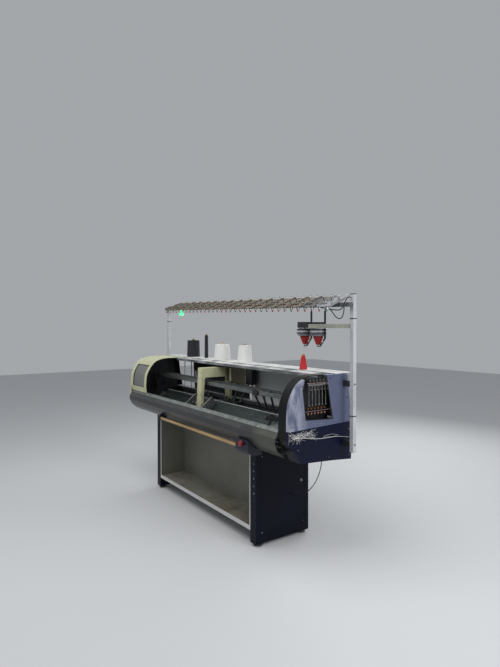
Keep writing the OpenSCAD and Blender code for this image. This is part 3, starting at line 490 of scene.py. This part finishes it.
# Where the yarn packages stand: x, y, the foot's radius, the top and the paper tube's radius.
packages = ((-0.276, 0.204, 0.080, 1.450, 0.0125), (0.084, 0.216, 0.067, 1.448, 0.0125),
            (-0.866, 0.216, 0.067, 1.474, 0.0125), (-0.596, 0.216, 0.020, 1.526, 0.0120),
            (0.952, 0.145, 0.030, 1.398, 0.0120))
fluff_count, fluff_points, table_front, table_rear = 120, 8, 0.114, 0.286
fluff_z, clear_round_package = 1.2904, 0.012
fluff = Form()
for i in range(fluff_count):
    x, y = random.uniform(-1.25, 1.25), random.uniform(0.118, 0.282)
    heading, path = random.uniform(0, 6.28), []
    gaps = [math.hypot(x - foot_x, y - foot_y) - foot_r for foot_x, foot_y, foot_r, _, _ in packages]
    if min(gaps) < clear_round_package:
        continue
    for j in range(fluff_points):
        path.append((x, y, fluff_z + 0.0012 * random.random()))
        heading += random.uniform(-0.8, 0.8)
        x += 0.006 * math.cos(heading)
        y = min(max(y + 0.005 * math.sin(heading), table_front), table_rear)
    fluff.swept(path, random.uniform(0.0003, 0.0007), 4)
fluff.piece("table_fluff", lint_painted_glow, slot="white_yarn")

# ---- Rear sheets and sliding doors ----
# The lower sheet is enamelled and fixed. Two doors slide above it in guides, the left one smoked
# and the right one frosted, each with dark-edged slots for the fingers.
Shade("rear_sheet", (140, 145, 146), 0.5).mottle((122, 126, 128), 4).dust(0.5).on("rear_lower_cover")
Shade("smoked_sheet", (34, 36, 40), 0.22).mottle((46, 48, 52), 3).on("rear_door_left")
frosted = Shade("frosted_sheet", (188, 192, 190), 0.4).mottle((198, 202, 200), 2)
frosted.mottle((166, 170, 170), 12, 0.6, 0.8, 0.6).on("rear_door_right")
door_foot, door_height, door_lean = 0.956, 0.303, 0.018
slot_half_w, slot_low, slot_high = 0.012, 1.075, 1.135
for body, y_low, places in (("left_door", 0.241, (-0.845, 0.085)), ("right_door", 0.254, (0.183, 1.153))):
    grommets = Form()
    for x in places:
        turns = [(slot_high, k * math.pi / 8) for k in range(9)]
        turns += [(slot_low, k * math.pi / 8) for k in range(8, 17)]
        ring = [(x + slot_half_w * math.cos(a), z + slot_half_w * math.sin(a)) for z, a in turns]
        for back in (0.0, 0.004):
            edge = [(px, y_low - door_lean * (z - door_foot) / door_height + back, z) for px, z in ring]
            grommets.swept(edge, 0.0014, 6, True)
    grommets.piece(f"{body}_grommets", rubber_trim, body, "black_cover")

# ---- Stand ----
# White enamelled square posts with screws in their outer sides and dark caps on top. They carry
# an olive-grey short rail and a bare steel rail for the tensioners.
white = Shade("stand_white", (206, 207, 212), 0.42)
white.mottle((190, 191, 196), 8).scuffs(0.3, (140, 140, 142)).dust(0.3)
white.edge_wear_and_highlight(0.35, (130, 130, 134), 0.003)
# Painted shade: the faces turned to the front are greyer than the white enamel.
facing_front = white.axis("Y", white.normal()) * -1.0
white.over(white.step(facing_front, 0.5, 0.9) * 0.4, (146, 147, 150))
bracket = 1.0 - white.step(white.unsigned(white.axis("X")), 1.3840, 1.3850)
white.over(bracket * (1.0 - white.step(white.axis("Z"), 1.3, 1.31)), (40, 41, 45))
white.on("stand_posts")
olive = Shade("storage_rail_olive", (146, 148, 136), 0.45).mottle((126, 128, 116), 9).dust(0.4)
olive.edge_wear_and_highlight(0.4, (186, 186, 176)).on("storage_rail")
post_x, post_y, post_half = 1.400, 0.195, 0.015
cap_rings = ((0.0152, 1.8255), (0.0155, 1.8290), (0.0130, 1.8315), (0.0050, 1.8325))
tie_half_x, tie_half_y, strap_height = 0.0162, 0.0165, 0.006
post_caps, post_screws = Form(), Form()
for side, outward in ((-1, "-X"), (1, "X")):
    x = side * post_x
    post_caps.skin([[(x + a * w, post_y + b * w, z) for a, b in ((-1, -1), (1, -1), (1, 1), (-1, 1))]
                    for w, z in cap_rings])
    for z in (0.810, 1.220):
        post_screws.screw((x + side * post_half, post_y, z), outward, 0.006)
    for z in (1.00, 1.66):
        post_caps.plate((x - tie_half_x, post_y - tie_half_y, z),
                        (x + tie_half_x, post_y + tie_half_y, z + strap_height))
post_caps.piece("post_caps_and_ties", rubber_trim, slot="cable_black")
post_screws.piece("post_screws", zinc, slot="steel")
rail = Shade("rail_steel", (134, 138, 138), 0.34, 0.85)
# The rails' light edges are partly wear and partly painted highlight.
rail.mottle((108, 112, 112), 10, stretch=(0.3, 1, 1)).dust(0.5).edge_wear_and_highlight(0.7, (196, 200, 198), 0.003)
rail.grain(0.0002, 500, (0.1, 1, 1))
rail.on("tensioner_rail", "feeder_rails")

# ---- Top tensioners ----
# Tilted channels full of fluff, each with a disc pair, knobs, white eyes and wire guides. The
# two next to the right post are cleaner and grey.
brown = Shade("tensioner_brown", (100, 90, 80), 0.6, 0.25)
brown.mottle((122, 112, 98), 18).mottle((78, 70, 62), 60, 0.55, 0.75, 0.7).dust(0.45, (140, 131, 118), 50)
brown.over(brown.step(brown.axis("X"), 1.019, 1.023) * 0.85, (104, 104, 104), 0.5)
brown.over(brown.step(brown.axis("X"), 1.169, 1.173) * 0.85, (160, 162, 166), 0.45)
brown.on("top_tensioners")
porcelain = Shade("porcelain", (232, 230, 224), 0.2).mottle((214, 212, 204), 90).on()
knob_red = Shade("knob_red", (196, 52, 52), 0.35).mottle((160, 38, 40), 80).on()
wire = Shade("wire_steel", (206, 206, 202), 0.28, 0.9).mottle((150, 150, 146), 70)
wire_bright = wire.on(*[f"spring_arm_{i}" for i in range(1, 7)])
rim_metal = Shade("tray_rims", (196, 190, 176), 0.5, 0.3)
rim_metal.mottle((150, 142, 128), 40, stretch=(0.5, 1, 1)).on()
knob_green = Shade("knob_green", (46, 150, 92), 0.35).mottle((36, 120, 76), 80).on()


def eye_ring(r_scale, h_scale=1.0):
    """The profile of a smooth eye for yarn."""
    ring = ((0.0036, 0), (0.0062, 0.0004), (0.0068, 0.0022), (0.0060, 0.0042), (0.0036, 0.0046))
    return [(r * r_scale, h * h_scale) for r, h in ring]


disc_profile = [(0, 0), (0.0145, 0.0006), (0.0150, 0.0020), (0.0040, 0.0030), (0.0040, 0.0045),
                (0.0150, 0.0055), (0.0145, 0.0070), (0.0030, 0.0076), (0.0030, 0.0150)]
knob_profile = [(0.0042, 0), (0.00476, 0.0012), (0.00476, 0.0054), (0.00315, 0.0072), (0, 0.0072)]
lens_profile = [(0.0050, 0), (0.0058, 0.002), (0.0058, 0.007), (0.0035, 0.010), (0, 0.0102)]
front_hook = ((0.018, -0.098, 0.0090), (0.021, -0.112, 0.015), (0.022, -0.124, 0.012), (0.016, -0.130, 0.004),
              (0.010, -0.128, -0.004), (0.006, -0.122, -0.010), (-0.002, -0.116, -0.012))
knob_guide = ((-0.018, -0.028, 0.0085), (-0.018, -0.050, 0.034), (0.010, -0.064, 0.036),
              (0.018, -0.052, 0.026))
tray_count, tray_pitch, middle_tray, lane_x, rim_inner = 17, 0.150, 1.446, 0.037, 0.0655
rail_slope, tray_tilt = Matrix.Rotation(math.radians(0.98), 4, "Y"), Matrix.Rotation(math.radians(21), 4, "X")
along_rail = Matrix.Translation((-post_x, 0.165, 1.820)) @ rail_slope
on_end, upside_down = Matrix.Rotation(math.pi / 2, 4, "X"), Matrix.Rotation(math.pi, 4, "X")
hooks, caps, reds, greens, whites, discs, rims = Form(), Form(), Form(), Form(), Form(), Form(), Form()
for i in range(tray_count):
    tray_x = middle_tray + (i - tray_count // 2) * tray_pitch
    tray_seat = along_rail @ Matrix.Translation((tray_x, 0, 0)) @ tray_tilt
    for x in (-0.0680, rim_inner):
        rims.plate((x, -0.1040, 0.0203), (x + 0.0025, 0.1120, 0.0209), tray_seat)
    rims.plate((-rim_inner, 0.1110, 0.0085), (rim_inner, 0.1123, 0.0100), tray_seat)
    for lane, side in ((2 * i, -1), (2 * i + 1, 1)):
        lane_seat = tray_seat @ Matrix.Translation((side * lane_x, 0, 0))
        discs.turned(disc_profile, None, lane_seat @ Matrix.Translation((0, 0.022, 0.0088)), 20)
        for y, z in ((-0.044, 0.0262), (0.022, 0.0236)):
            caps.turned(knob_profile, None, lane_seat @ Matrix.Translation((0, y, z)), 12)
        for place in ((0, 0.1042, 0.0180), (0.009, -0.1098, -0.0040)):
            whites.turned(eye_ring(1.15), None, lane_seat @ Matrix.Translation(place) @ on_end, 14)
        lenses = greens if lane % 5 == 3 else reds
        lens_seat = lane_seat @ Matrix.Translation((-0.010, -0.1065, -0.0152)) @ upside_down
        lenses.turned(lens_profile, None, lens_seat, 14)
        hooks.swept([lane_seat @ Vector(p) for p in front_hook], 0.0011, 6)
        hooks.swept([lane_seat @ Vector(p) for p in knob_guide], 0.0010, 6)
rims.piece("tensioner_tray_rims", rim_metal.material, slot="rail_steel", soft=False)
discs.piece("tensioner_discs", needle_steel, slot="steel")
greens.piece("tensioner_green_lenses", knob_green, slot="lamp_green")
caps.piece("tensioner_knobs", black_cover, slot="black_cover")
reds.piece("tensioner_red_lenses", knob_red, slot="stop_red")
whites.piece("tensioner_eyes", porcelain)
hooks.piece("tensioner_hooks", wire_bright, slot="wire_steel")

# ---- Signal lamp ----
# A lit green lens of moulded plastic. It is fixed under the tensioner rail, where it can be seen
# from all round the machine.
Shade("lamp_green", (60, 230, 140), 0.25).mottle((120, 255, 190), 90).glow(1.25).on("signal_lamp")

# ---- Side tensioners ----
# Dark metalwork in the windows: bars with pairs of discs, wire bails, coiled springs and smooth
# eyes, and bright wire arms that swing.
dark = Shade("dark_metal", (30, 31, 36), 0.45, 0.4).mottle((46, 46, 50), 24).dust(0.4, (110, 108, 102), 40)
eye_bars = dark.step(dark.axis("Z"), 1.019, 1.021) * (1.0 - dark.step(dark.axis("Z"), 1.076, 1.078))
dark.over(eye_bars * dark.step(dark.unsigned(dark.axis("X")), 1.282, 1.284), (98, 68, 54), 0.5)
dark.on("side_tension_right", "side_tension_left", "feeder_rail_brackets", "drive_motor")
gold = Shade("brass_eyes", (150, 116, 68), 0.36, 0.9).mottle((110, 84, 50), 120).on()
grimy_eyes = Shade("grimy_eyes", (186, 158, 156), 0.3).mottle((130, 104, 104), 120).on()
dull_discs = Shade("dull_discs", (96, 96, 98), 0.4, 0.6).mottle((66, 64, 66), 120).on()
arm_count, arm_pitch, first_arm_y = 6, 0.030, -0.118
# Each rod's x, z, front end, rear end and radius.
upper_rod, lower_rod = (1.3135, 1.2360, -0.140, 0.046, 0.0017), (1.3000, 1.0500, -0.188, 0.088, 0.0012)
small_disc_profile = [(0.0, 0), (0.0098, 0.0004), (0.0102, 0.0012), (0.0040, 0.0022), (0.0040, 0.0028),
                      (0.0102, 0.0038), (0.0098, 0.0046), (0.0036, 0.0050), (0.0036, 0.0085), (0, 0.0090)]
half_bail = ((1.309, 0.0095, 1.238), (1.321, 0.0095, 1.232), (1.323, 0.0080, 1.228))
bail_path = [(x, -y, z) for x, y, z in half_bail] + list(half_bail[::-1])
eye_stem = ((1.3110, 0.0080, 1.2350), (1.3125, 0.0095, 1.2200), (1.3120, 0.0115, 1.1965))
coil_r, coil_advance, coil_x, coil_z = 0.004675, 0.00055, 1.304, 1.222
coil_angles = [k * math.pi / 5 for k in range(44)]
coil_path = [(coil_x + coil_r * math.cos(a), 0.0060 + a * coil_advance, coil_z + coil_r * math.sin(a))
             for a in coil_angles]
arm_wires = ((bail_path, 0.0009, 6), (eye_stem, 0.0009, 6), (coil_path, 0.0006, 4))
# The smooth eyes of one arm: x, how far behind the arm, z, and the scales of radius and depth.
arm_eyes = ((1.3220, 0, 1.2280, 0.55, 0.8), (1.3110, 0.0115, 1.1925, 0.55, 0.8),
            (1.2950, 0, 1.0345, 0.7, 1.0))
for side, name, face in ((1, "right", "X"), (-1, "left", "-X")):
    discs, eyes, bails, low_eyes, rods = Form(), Form(), Form(), Form(), Form()
    for rod_x, rod_z, front_end, rear_end, rod_r in (upper_rod, lower_rod):
        rods.swept([(side * rod_x, front_end, rod_z), (side * rod_x, rear_end, rod_z)], rod_r, 8)
    for i in range(arm_count):
        y = first_arm_y + arm_pitch * i
        discs.turned(small_disc_profile, (side * 1.3140, y, 1.252), face)
        for wire_path, wire_r, sides in arm_wires:
            bails.swept([(side * x, y + dy, z) for x, dy, z in wire_path], wire_r, sides)
        for eye_x, behind, eye_z, r_scale, h_scale in arm_eyes:
            eyes.turned(eye_ring(r_scale, h_scale), (side * eye_x, y + behind, eye_z), face, 14)
        low_eyes.turned(eye_ring(0.7), (side * 1.2950, y, 1.0685), face, 14)
    discs.piece(f"side_discs_{name}", dull_discs, slot="steel")
    rods.piece(f"side_rods_{name}", grimy_eyes, slot="wire_steel")
    bails.piece(f"side_bails_{name}", wire_bright, slot="wire_steel")
    eyes.piece(f"side_eyes_{name}", grimy_eyes)
    low_eyes.piece(f"side_brass_eyes_{name}", gold)

# ---- Yarn clamp and cutter ----
# Flat black blocks near the front bed's right end, with a lever that lies down the slope. They
# stay under the cam boxes, which pass over them.
on_bed = Matrix.Translation((0.82, -0.005, ridge)) @ Matrix.Rotation(-3 * math.pi / 4, 4, "X")
clamp_black = Shade("clamp_black", (8, 8, 10), 0.7).mottle((18, 18, 20), 50)
clamp_black.dust(0.1, (90, 90, 86), 60).shine(0.2).on()
clamp_blocks = (
    ((-0.078, 0.030, -0.0055), (-0.004, 0.062, 0.0)), ((-0.060, 0.014, -0.0050), (-0.020, 0.030, 0.0)),
    ((-0.010, 0.022, -0.0060), (0.052, 0.058, 0.0)), ((0.046, 0.020, -0.0050), (0.086, 0.046, 0.0)),
    ((-0.012, 0.055, -0.0048), (0.003, 0.118, -0.0008)), ((-0.015, 0.110, -0.0060), (0.006, 0.126, 0.0)))
clamp_screw_profile = [(0.0042, 0.0050), (0.0042, 0.0064), (0.0030, 0.0067), (0, 0.0067)]
clamp = Form()
for low, high in clamp_blocks:
    clamp.plate(low, high, on_bed)
for x, y in ((-0.066, 0.046), (-0.018, 0.046), (0.004, 0.040), (0.040, 0.040), (0.074, 0.033)):
    clamp.turned(clamp_screw_profile, None, on_bed @ Matrix.Translation((x, y, 0)) @ upside_down, 10)
clamp.piece("yarn_clamp", clamp_black.material, slot="feeder_black")

# ---- Yarn feeders ----
# Black moulded blocks that slide on the sides of the rails. Their slanting steel arms end in
# brass tips over the gap between the beds. They are oily and dusted with lint.
feeder = Shade("feeder_black", (24, 25, 29), 0.4).mottle((38, 39, 44), 40).dust(0.45, (120, 120, 116), 60)
feeder.on(*[f"feeder_{i}" for i in range(1, 7)], "storage_feeders")
# Each feeder's place along the beds, its rail counted from the front, and its side of that rail.
feeder_places = ((0.640, 0, -1), (0.715, 0, 1), (0.790, 1, -1), (0.865, 2, 1), (0.215, 3, -1), (0.305, 3, 1))
feeder_rail_pitch, feeder_face, tip_pitch = 0.040, 0.0163, 0.0052
top_eye_profile = [(0.0022, 0), (0.0050, 0.0006), (0.0054, 0.0024), (0.0022, 0.0036)]
tip_profile = [(0.0017, 0), (0.0021, 0.0004), (0.0021, 0.0050), (0.0017, 0.0054)]
for i, (x, rail_no, side) in enumerate(feeder_places):
    y = (rail_no - 1.5) * feeder_rail_pitch + side * feeder_face
    fixing = Form()
    for dx in (-0.022, 0.022):
        fixing.screw((x + dx, y, 1.100), "Y" if side > 0 else "-Y", 0.0035)
    fixing.turned(top_eye_profile, (x, y - side * 0.0055, 1.1228), "Z", 14)
    fixing.turned(tip_profile, (x, (i - 2.5) * tip_pitch, 0.9576), "Z", 12)
    fixing.piece(f"feeder_fixings_{i + 1}", gold, f"yarn_feeder_{i + 1}", "bar_brass")

# ---- Carriage ----
# A cream bridge of folded sheet joins two dark cam boxes, whose cams move the needles. Solenoids
# stand on the boxes in rows, and thin leads run along the bridge to the control box on its rear.
bridge = Shade("bridge_cream", (190, 190, 150), 0.45)
bridge.mottle((200, 200, 166), 5).mottle((150, 150, 118), 12, 0.58, 0.8, 0.7).scuffs(0.3, (130, 128, 104))
bridge.dust(0.3, (196, 196, 180)).edge_wear_and_highlight(0.4, (130, 128, 110))
bridge.on("carriage_bridge")
cams = Shade("cam_dark", (50, 53, 56), 0.38, 0.6).mottle((74, 76, 78), 26).dust(0.5, (150, 150, 144), 60)
carriage_x = -0.145
from_middle = cams.unsigned(cams.axis("X") - carriage_x)
cams.over(cams.step(from_middle, 0.1384, 0.1392) * 0.9, (106, 108, 108), 0.5)
cams.edge_wear_and_highlight(0.6, (150, 152, 150), 0.003).on("front_cam_box", "rear_cam_box")
wire_red = Shade("wire_red", (120, 44, 40), 0.5).mottle((70, 60, 60), 60, 0.4, 0.6).on()
edge_strip = Shade("edge_strip", (186, 188, 184), 0.35, 0.5).mottle((140, 142, 140), 40).on()
first_solenoid, solenoid_pitch, row_step = -0.258, 0.0565, 0.046
solenoid_height, edge_run, edge_rise = 0.028, 0.120, 0.094
solenoid_cap = [(0.0118, -0.0005), (0.0118, 0.0015), (0.0050, 0.0028), (0.0044, 0.0062), (0, 0.0066)]
caps, wires, strips = Form(), Form(), Form()
for side in (-1, 1):
    out = Vector((0, side * math.sin(bed_angle), math.cos(bed_angle)))
    lean = Matrix.Rotation(-side * bed_angle, 4, "X")
    inward = Vector((0, -side * 0.030, 0.004))
    for k in (0, 1, 3, 4):
        for climb in (0, row_step):
            foot = Vector((first_solenoid + k * solenoid_pitch, side * (0.152 - climb), 0.848 + climb))
            seat = Matrix.Translation(foot + out * solenoid_height) @ lean
            caps.turned(solenoid_cap, None, seat, 18)
            a, b = seat @ Vector((0.009, 0, 0.001)), seat @ Vector((0.018, 0, 0.006))
            loop, end = b + inward * 0.5 + Vector((0, 0, 0.006)), b + inward + Vector((0.004, 0, -0.006))
            wires.swept([a, b, loop, end], 0.0011, 5)
    rise = Matrix.Rotation(-side * math.atan2(edge_rise, edge_run), 4, "X")
    low_y, high_y = sorted((-side * 0.004, -side * 0.150))
    for x in (-0.2895, -0.0065):
        strip_seat = Matrix.Translation((x, side * 0.197, 0.8962)) @ rise
        strips.plate((-0.001, low_y, 0), (0.007, high_y, 0.0016), strip_seat)
caps.piece("solenoid_caps", needle_steel, "carriage", "steel")
wires.piece("solenoid_wires", wire_red, "carriage", "cable_black")
strips.piece("cam_plate_edges", edge_strip, "carriage", "rail_steel", soft=False)
lever = Form().swept([(-0.030, -0.082, 0.980), (-0.026, -0.092, 1.000), (-0.018, -0.106, 1.030)], 0.0028, 10)
lever.piece("lever_stem", needle_steel, "carriage", "steel")
ball_radius = 0.0085
ball_profile = [(ball_radius * math.sin(math.pi * k / 10), -ball_radius * math.cos(math.pi * k / 10))
                for k in range(11)]
ball = Form().turned(ball_profile, (-0.0165, -0.109, 1.037), "Z", 18)
ball.piece("lever_ball", black_cover, "carriage", "black_cover")
lead_count, lead_pitch, first_lead_x = 5, 0.0026, -0.1862
lead_path = ((-0.086, 0.916), (-0.100, 0.960), (-0.104, 1.060), (-0.100, 1.150), (-0.080, 1.205),
             (0.060, 1.212), (0.150, 1.212), (0.184, 1.204), (0.190, 1.150), (0.190, 0.846))
tie_low_x, tie_high_x, tie_half, tie_thickness = -0.1990, -0.1844, 0.003, 0.006
flex = Form()
for k in range(lead_count):
    flex.swept([(first_lead_x - lead_pitch * k, y, z) for y, z in lead_path], 0.0013, 6)
for y, z in ((-0.1052, 1.04), (0.030, 1.2095), (0.192, 1.2095)):
    flex.plate((tie_low_x, y - tie_half, z), (tie_high_x, y + tie_half, z + tie_thickness))
flex.piece("carriage_leads", rubber_trim, "carriage", "cable_black")
screw_columns, bridge_rear = (-0.172, -0.122), 0.206
bridge_screws = Form()
for z, y in ((1.000, -0.1225), (1.200, -0.1136)):
    for x in screw_columns:
        bridge_screws.screw((x, y, z), "-Y")
for z in (0.93, 1.06, 1.20):
    for x in screw_columns:
        bridge_screws.screw((x, bridge_rear, z), "Y")
bridge_screws.piece("bridge_screws", zinc, "carriage", "steel")
box = Shade("box_black", (20, 20, 28), 0.35).mottle((30, 30, 38), 12)
left_part = 1.0 - box.step(box.axis("X"), 0.1894, 0.1902)
box.over(left_part, (92, 84, 70), 0.5).over(left_part * box.step(box.noise(5), 0.35, 0.7), (76, 70, 60))
box.dust(0.4).edge_wear_and_highlight(0.5, (120, 114, 100)).on("carriage_box")
strap = Form().plate((-0.062, 0.1465, 1.112), (-0.036, 0.1502, 1.232))
strap.plate((0.1885, 0.1485, 1.107), (0.1915, 0.1502, 1.238))
strap.piece("box_strap", bridge.material, "carriage", "bridge_cream", soft=False)
box_screws = Form()
for x, z in ((-0.098, 1.118), (-0.098, 1.228), (0.176, 1.118), (0.176, 1.228), (0.202, 1.228), (0.270, 1.228),
             (0.202, 1.118)):
    box_screws.screw((x, 0.150, z), "-Y", 0.0040)
box_screws.piece("box_screws", zinc, "carriage", "steel")

# ---- Take-down rollers ----
# A knurled rubber roller lies against a turned steel one, in bearings below the beds. The steel
# pulleys of the drive have the same finish.
rubber = Shade("roller_rubber", (52, 52, 54), 0.7).mottle((70, 70, 70), 30).grain(0.0008, 700)
rubber.on("takedown_roller")
steel = Shade("turned_steel", (160, 162, 164), 0.3, 1.0).mottle((120, 122, 124), 20, stretch=(0.2, 1, 1))
steel.grain(0.0001, 900, (4, 1, 1)).on("pinch_roller", "drive_pulley", "idler_pulley")

# ---- Fabric tray ----
# Folded sheet in a warm grey, fixed between the pedestals. It is brown with dirt on its floor,
# and lighter on its bright front flange.
tray = Shade("tray_sheet", (118, 118, 108), 0.5)
tray.mottle((104, 104, 95), 3).mottle((130, 130, 121), 9, 0.6, 0.85, 0.5)
tray.over(tray.facing_up() * tray.step(tray.noise(5, (0.5, 1, 1)), 0.40, 0.62) * 0.8, (92, 80, 60))
tray.over(tray.step(tray.axis("Y") * -1.0, 0.2045, 0.2055), (200, 200, 198), 0.45)
tray.dust(0.5, (150, 146, 136)).scuffs(0.3, (96, 94, 88)).on("fabric_tray")

# ---- Operating bar and stop button ----
# A brass-coloured tube, worn by hands, turns between two brackets and starts and stops the
# machine. A red mushroom button sits on the right bracket's switch housing.
brass = Shade("bar_brass", (196, 164, 116), 0.36, 0.5)
brass.mottle((168, 138, 94), 6, stretch=(0.5, 3, 3)).scuffs(0.5, (214, 196, 160), (9, 1, 1), 12)
brass.on("operating_bar")
Shade("stop_red", (150, 28, 34), 0.3).mottle((126, 20, 26), 60).dust(0.2).on("stop_button")

# ---- Drive belt and control cabinet ----
# A toothed rubber belt runs along the beds over two pulleys. The cabinet is a box of folded sheet
# in dusty navy paint, fixed between the pedestals.
Shade("belt_rubber", (34, 34, 36), 0.75).mottle((48, 48, 50), 20).on("drive_belt")
cabinet = Shade("cabinet_paint", (30, 36, 60), 0.42).mottle((38, 44, 70), 4).dust(0.3, (104, 106, 114), 4)
cabinet.edge_wear_and_highlight(0.4, (110, 114, 128)).on("control_cabinet")

# ---- Storage feeders' drums ----
# Turned drums with dark and light bands on the motors of the storage feeders. A layer of red yarn
# lies on their cones, and the yarn goes through smooth porcelain eyes.
drums = Shade("drum_grey", (150, 152, 158), 0.3, 0.5).mottle((120, 122, 128), 30)
height, blend = drums.axis("Z"), 0.0002
for low, high, colour in ((1.5560, 1.5690, (88, 90, 98)), (1.5690, 1.5805, (206, 208, 212)),
                          (1.5805, 1.5925, (62, 64, 72)), (1.5925, 1.6000, (226, 227, 232))):
    above = drums.step(height, low - blend, low + blend)
    drums.over(above * (1.0 - drums.step(height, high - blend, high + blend)), colour)
drums.on("storage_drum_1", "storage_drum_2")
wound = Shade("wound_red", (176, 44, 44), 0.85).mottle((132, 30, 34), 80, stretch=(1, 1, 8))
wound_red = wound.grain(0.0006, 500, (1, 1, 9)).on()
storage_y = 0.120
sleeve = [(0.0124, 1.4806), (0.0150, 1.4812), (0.0215, 1.4960), (0.0285, 1.5140), (0.0350, 1.5310),
          (0.0356, 1.5370), (0.0345, 1.5395)]
heads = Form()
for x, body in ((0.998, "drum_a"), (1.138, "drum_b")):
    Form().turned(sleeve, (x, storage_y, 0.0), "Z", 40).piece(f"wound_yarn_{body}", wound_red, body)
    heads.turned(eye_ring(0.9), (x + 0.026, storage_y, 1.6398), "Z", 14)
    heads.turned(eye_ring(0.8), (x + 0.0505, 0.1152, 1.5050), "-Y", 14)
    heads.turned(eye_ring(0.8), (x - 0.004, storage_y, 1.4662), "-Z", 14)
heads.piece("storage_eyes", porcelain)
pale_thread = Shade("pale_thread", (214, 206, 200), 0.9).mottle((190, 150, 146), 200).on()
thread_path = ((0.994, storage_y, 1.4640), (0.993, 0.1215, 1.4580), (0.953, 0.1445, 1.4060),
               (0.952, 0.145, 1.396))
Form().swept(thread_path, 0.0007, 6).piece("red_thread", pale_thread, slot="white_yarn")

# ---- Yarn packages ----
# Cross-wound yarn on paper tubes, two white cones and darker ones with a small red one, which
# stand on the table. The winding makes fine slanting ridges round them.
for name, colour, second in (("white_cones", (228, 228, 224), (206, 206, 202)),
                             ("dark_cones", (32, 33, 37), (48, 49, 54))):
    yarn = Shade(name, colour, 0.85).mottle(second, 60, 0.4, 0.7, 0.6, (1, 1, 6))
    if name == "dark_cones":
        yarn.over(yarn.step(yarn.axis("X"), 0.7, 0.72), (186, 40, 44))
    yarn.grain(0.0008, 300, (1, 1, 5)).on(name)
paper = Shade("paper_tube", (178, 160, 130), 0.8).mottle((150, 134, 108), 60).on()
tubes = Form()
for x, y, _, top, tube_r in packages:
    outer_r = tube_r + 0.0006
    tubes.turned([(0.0095, -0.006), (outer_r, -0.006), (outer_r, 0.0045), (0.0105, 0.0055), (0.0095, 0.0040)],
                 (x, y, top), "Z", 24)
tubes.piece("cone_tubes", paper, slot="white_yarn")

# ---- Leads ----
# Black round leads from the storage feeders to the post and to the tensioner rail, and one from
# the needle beds' end down to the right pedestal. Each is a smooth curve along its route.
lead = Shade("cable_black", (26, 26, 28), 0.5).mottle((40, 40, 42), 60).on()


def smooth_curve(route, steps=4):
    """A curve that runs smoothly through a route's points."""
    route = [Vector(p) for p in route]
    ends = [route[0]] + route + [route[-1]]
    curve = []
    for a, b, c, d in zip(ends, ends[1:], ends[2:], ends[3:]):
        for k in range(steps):
            t = k / steps
            curve.append(0.5 * (2 * b + (c - a) * t + (2 * a - 5 * b + 4 * c - d) * t ** 2
                                + (3 * b - a - 3 * c + d) * t ** 3))
    return curve + [route[-1]]


def fixed_lead(name, radius, route):
    """A lead that leaves the machine at the route's first point and goes back in at its last."""
    curve = smooth_curve(route)
    piece = Form().swept(curve, radius, 12).piece(name, lead, slot="cable_black")
    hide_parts("cables")


fixed_lead("left_storage_lead", 0.0035, [
    (1.067, 0.120, 1.7183), (1.067, 0.120, 1.732), (1.076, 0.122, 1.744), (1.096, 0.127, 1.749),
    (1.130, 0.134, 1.747), (1.180, 0.140, 1.739), (1.240, 0.144, 1.729), (1.300, 0.145, 1.722),
    (1.338, 0.144, 1.728), (1.362, 0.138, 1.748), (1.379, 0.138, 1.776), (1.389, 0.146, 1.798),
    (1.392, 0.162, 1.806), (1.392, 0.1798, 1.806)])
fixed_lead("right_storage_lead", 0.0035, [
    (1.207, 0.120, 1.7183), (1.207, 0.120, 1.726), (1.214, 0.121, 1.734), (1.230, 0.124, 1.736),
    (1.250, 0.127, 1.727), (1.270, 0.130, 1.706), (1.292, 0.134, 1.680), (1.318, 0.138, 1.664),
    (1.340, 0.144, 1.668), (1.350, 0.150, 1.690), (1.352, 0.156, 1.722), (1.352, 0.156, 1.7427)])
fixed_lead("front_lead", 0.003, [
    (1.240, 0.060, 0.8378), (1.240, 0.060, 0.790), (1.240, 0.060, 0.730), (1.238, 0.060, 0.680),
    (1.222, 0.064, 0.620), (1.185, 0.072, 0.550), (1.130, 0.084, 0.480), (1.050, 0.098, 0.410),
    (0.960, 0.112, 0.362), (0.890, 0.124, 0.332), (0.8382, 0.124, 0.332)])
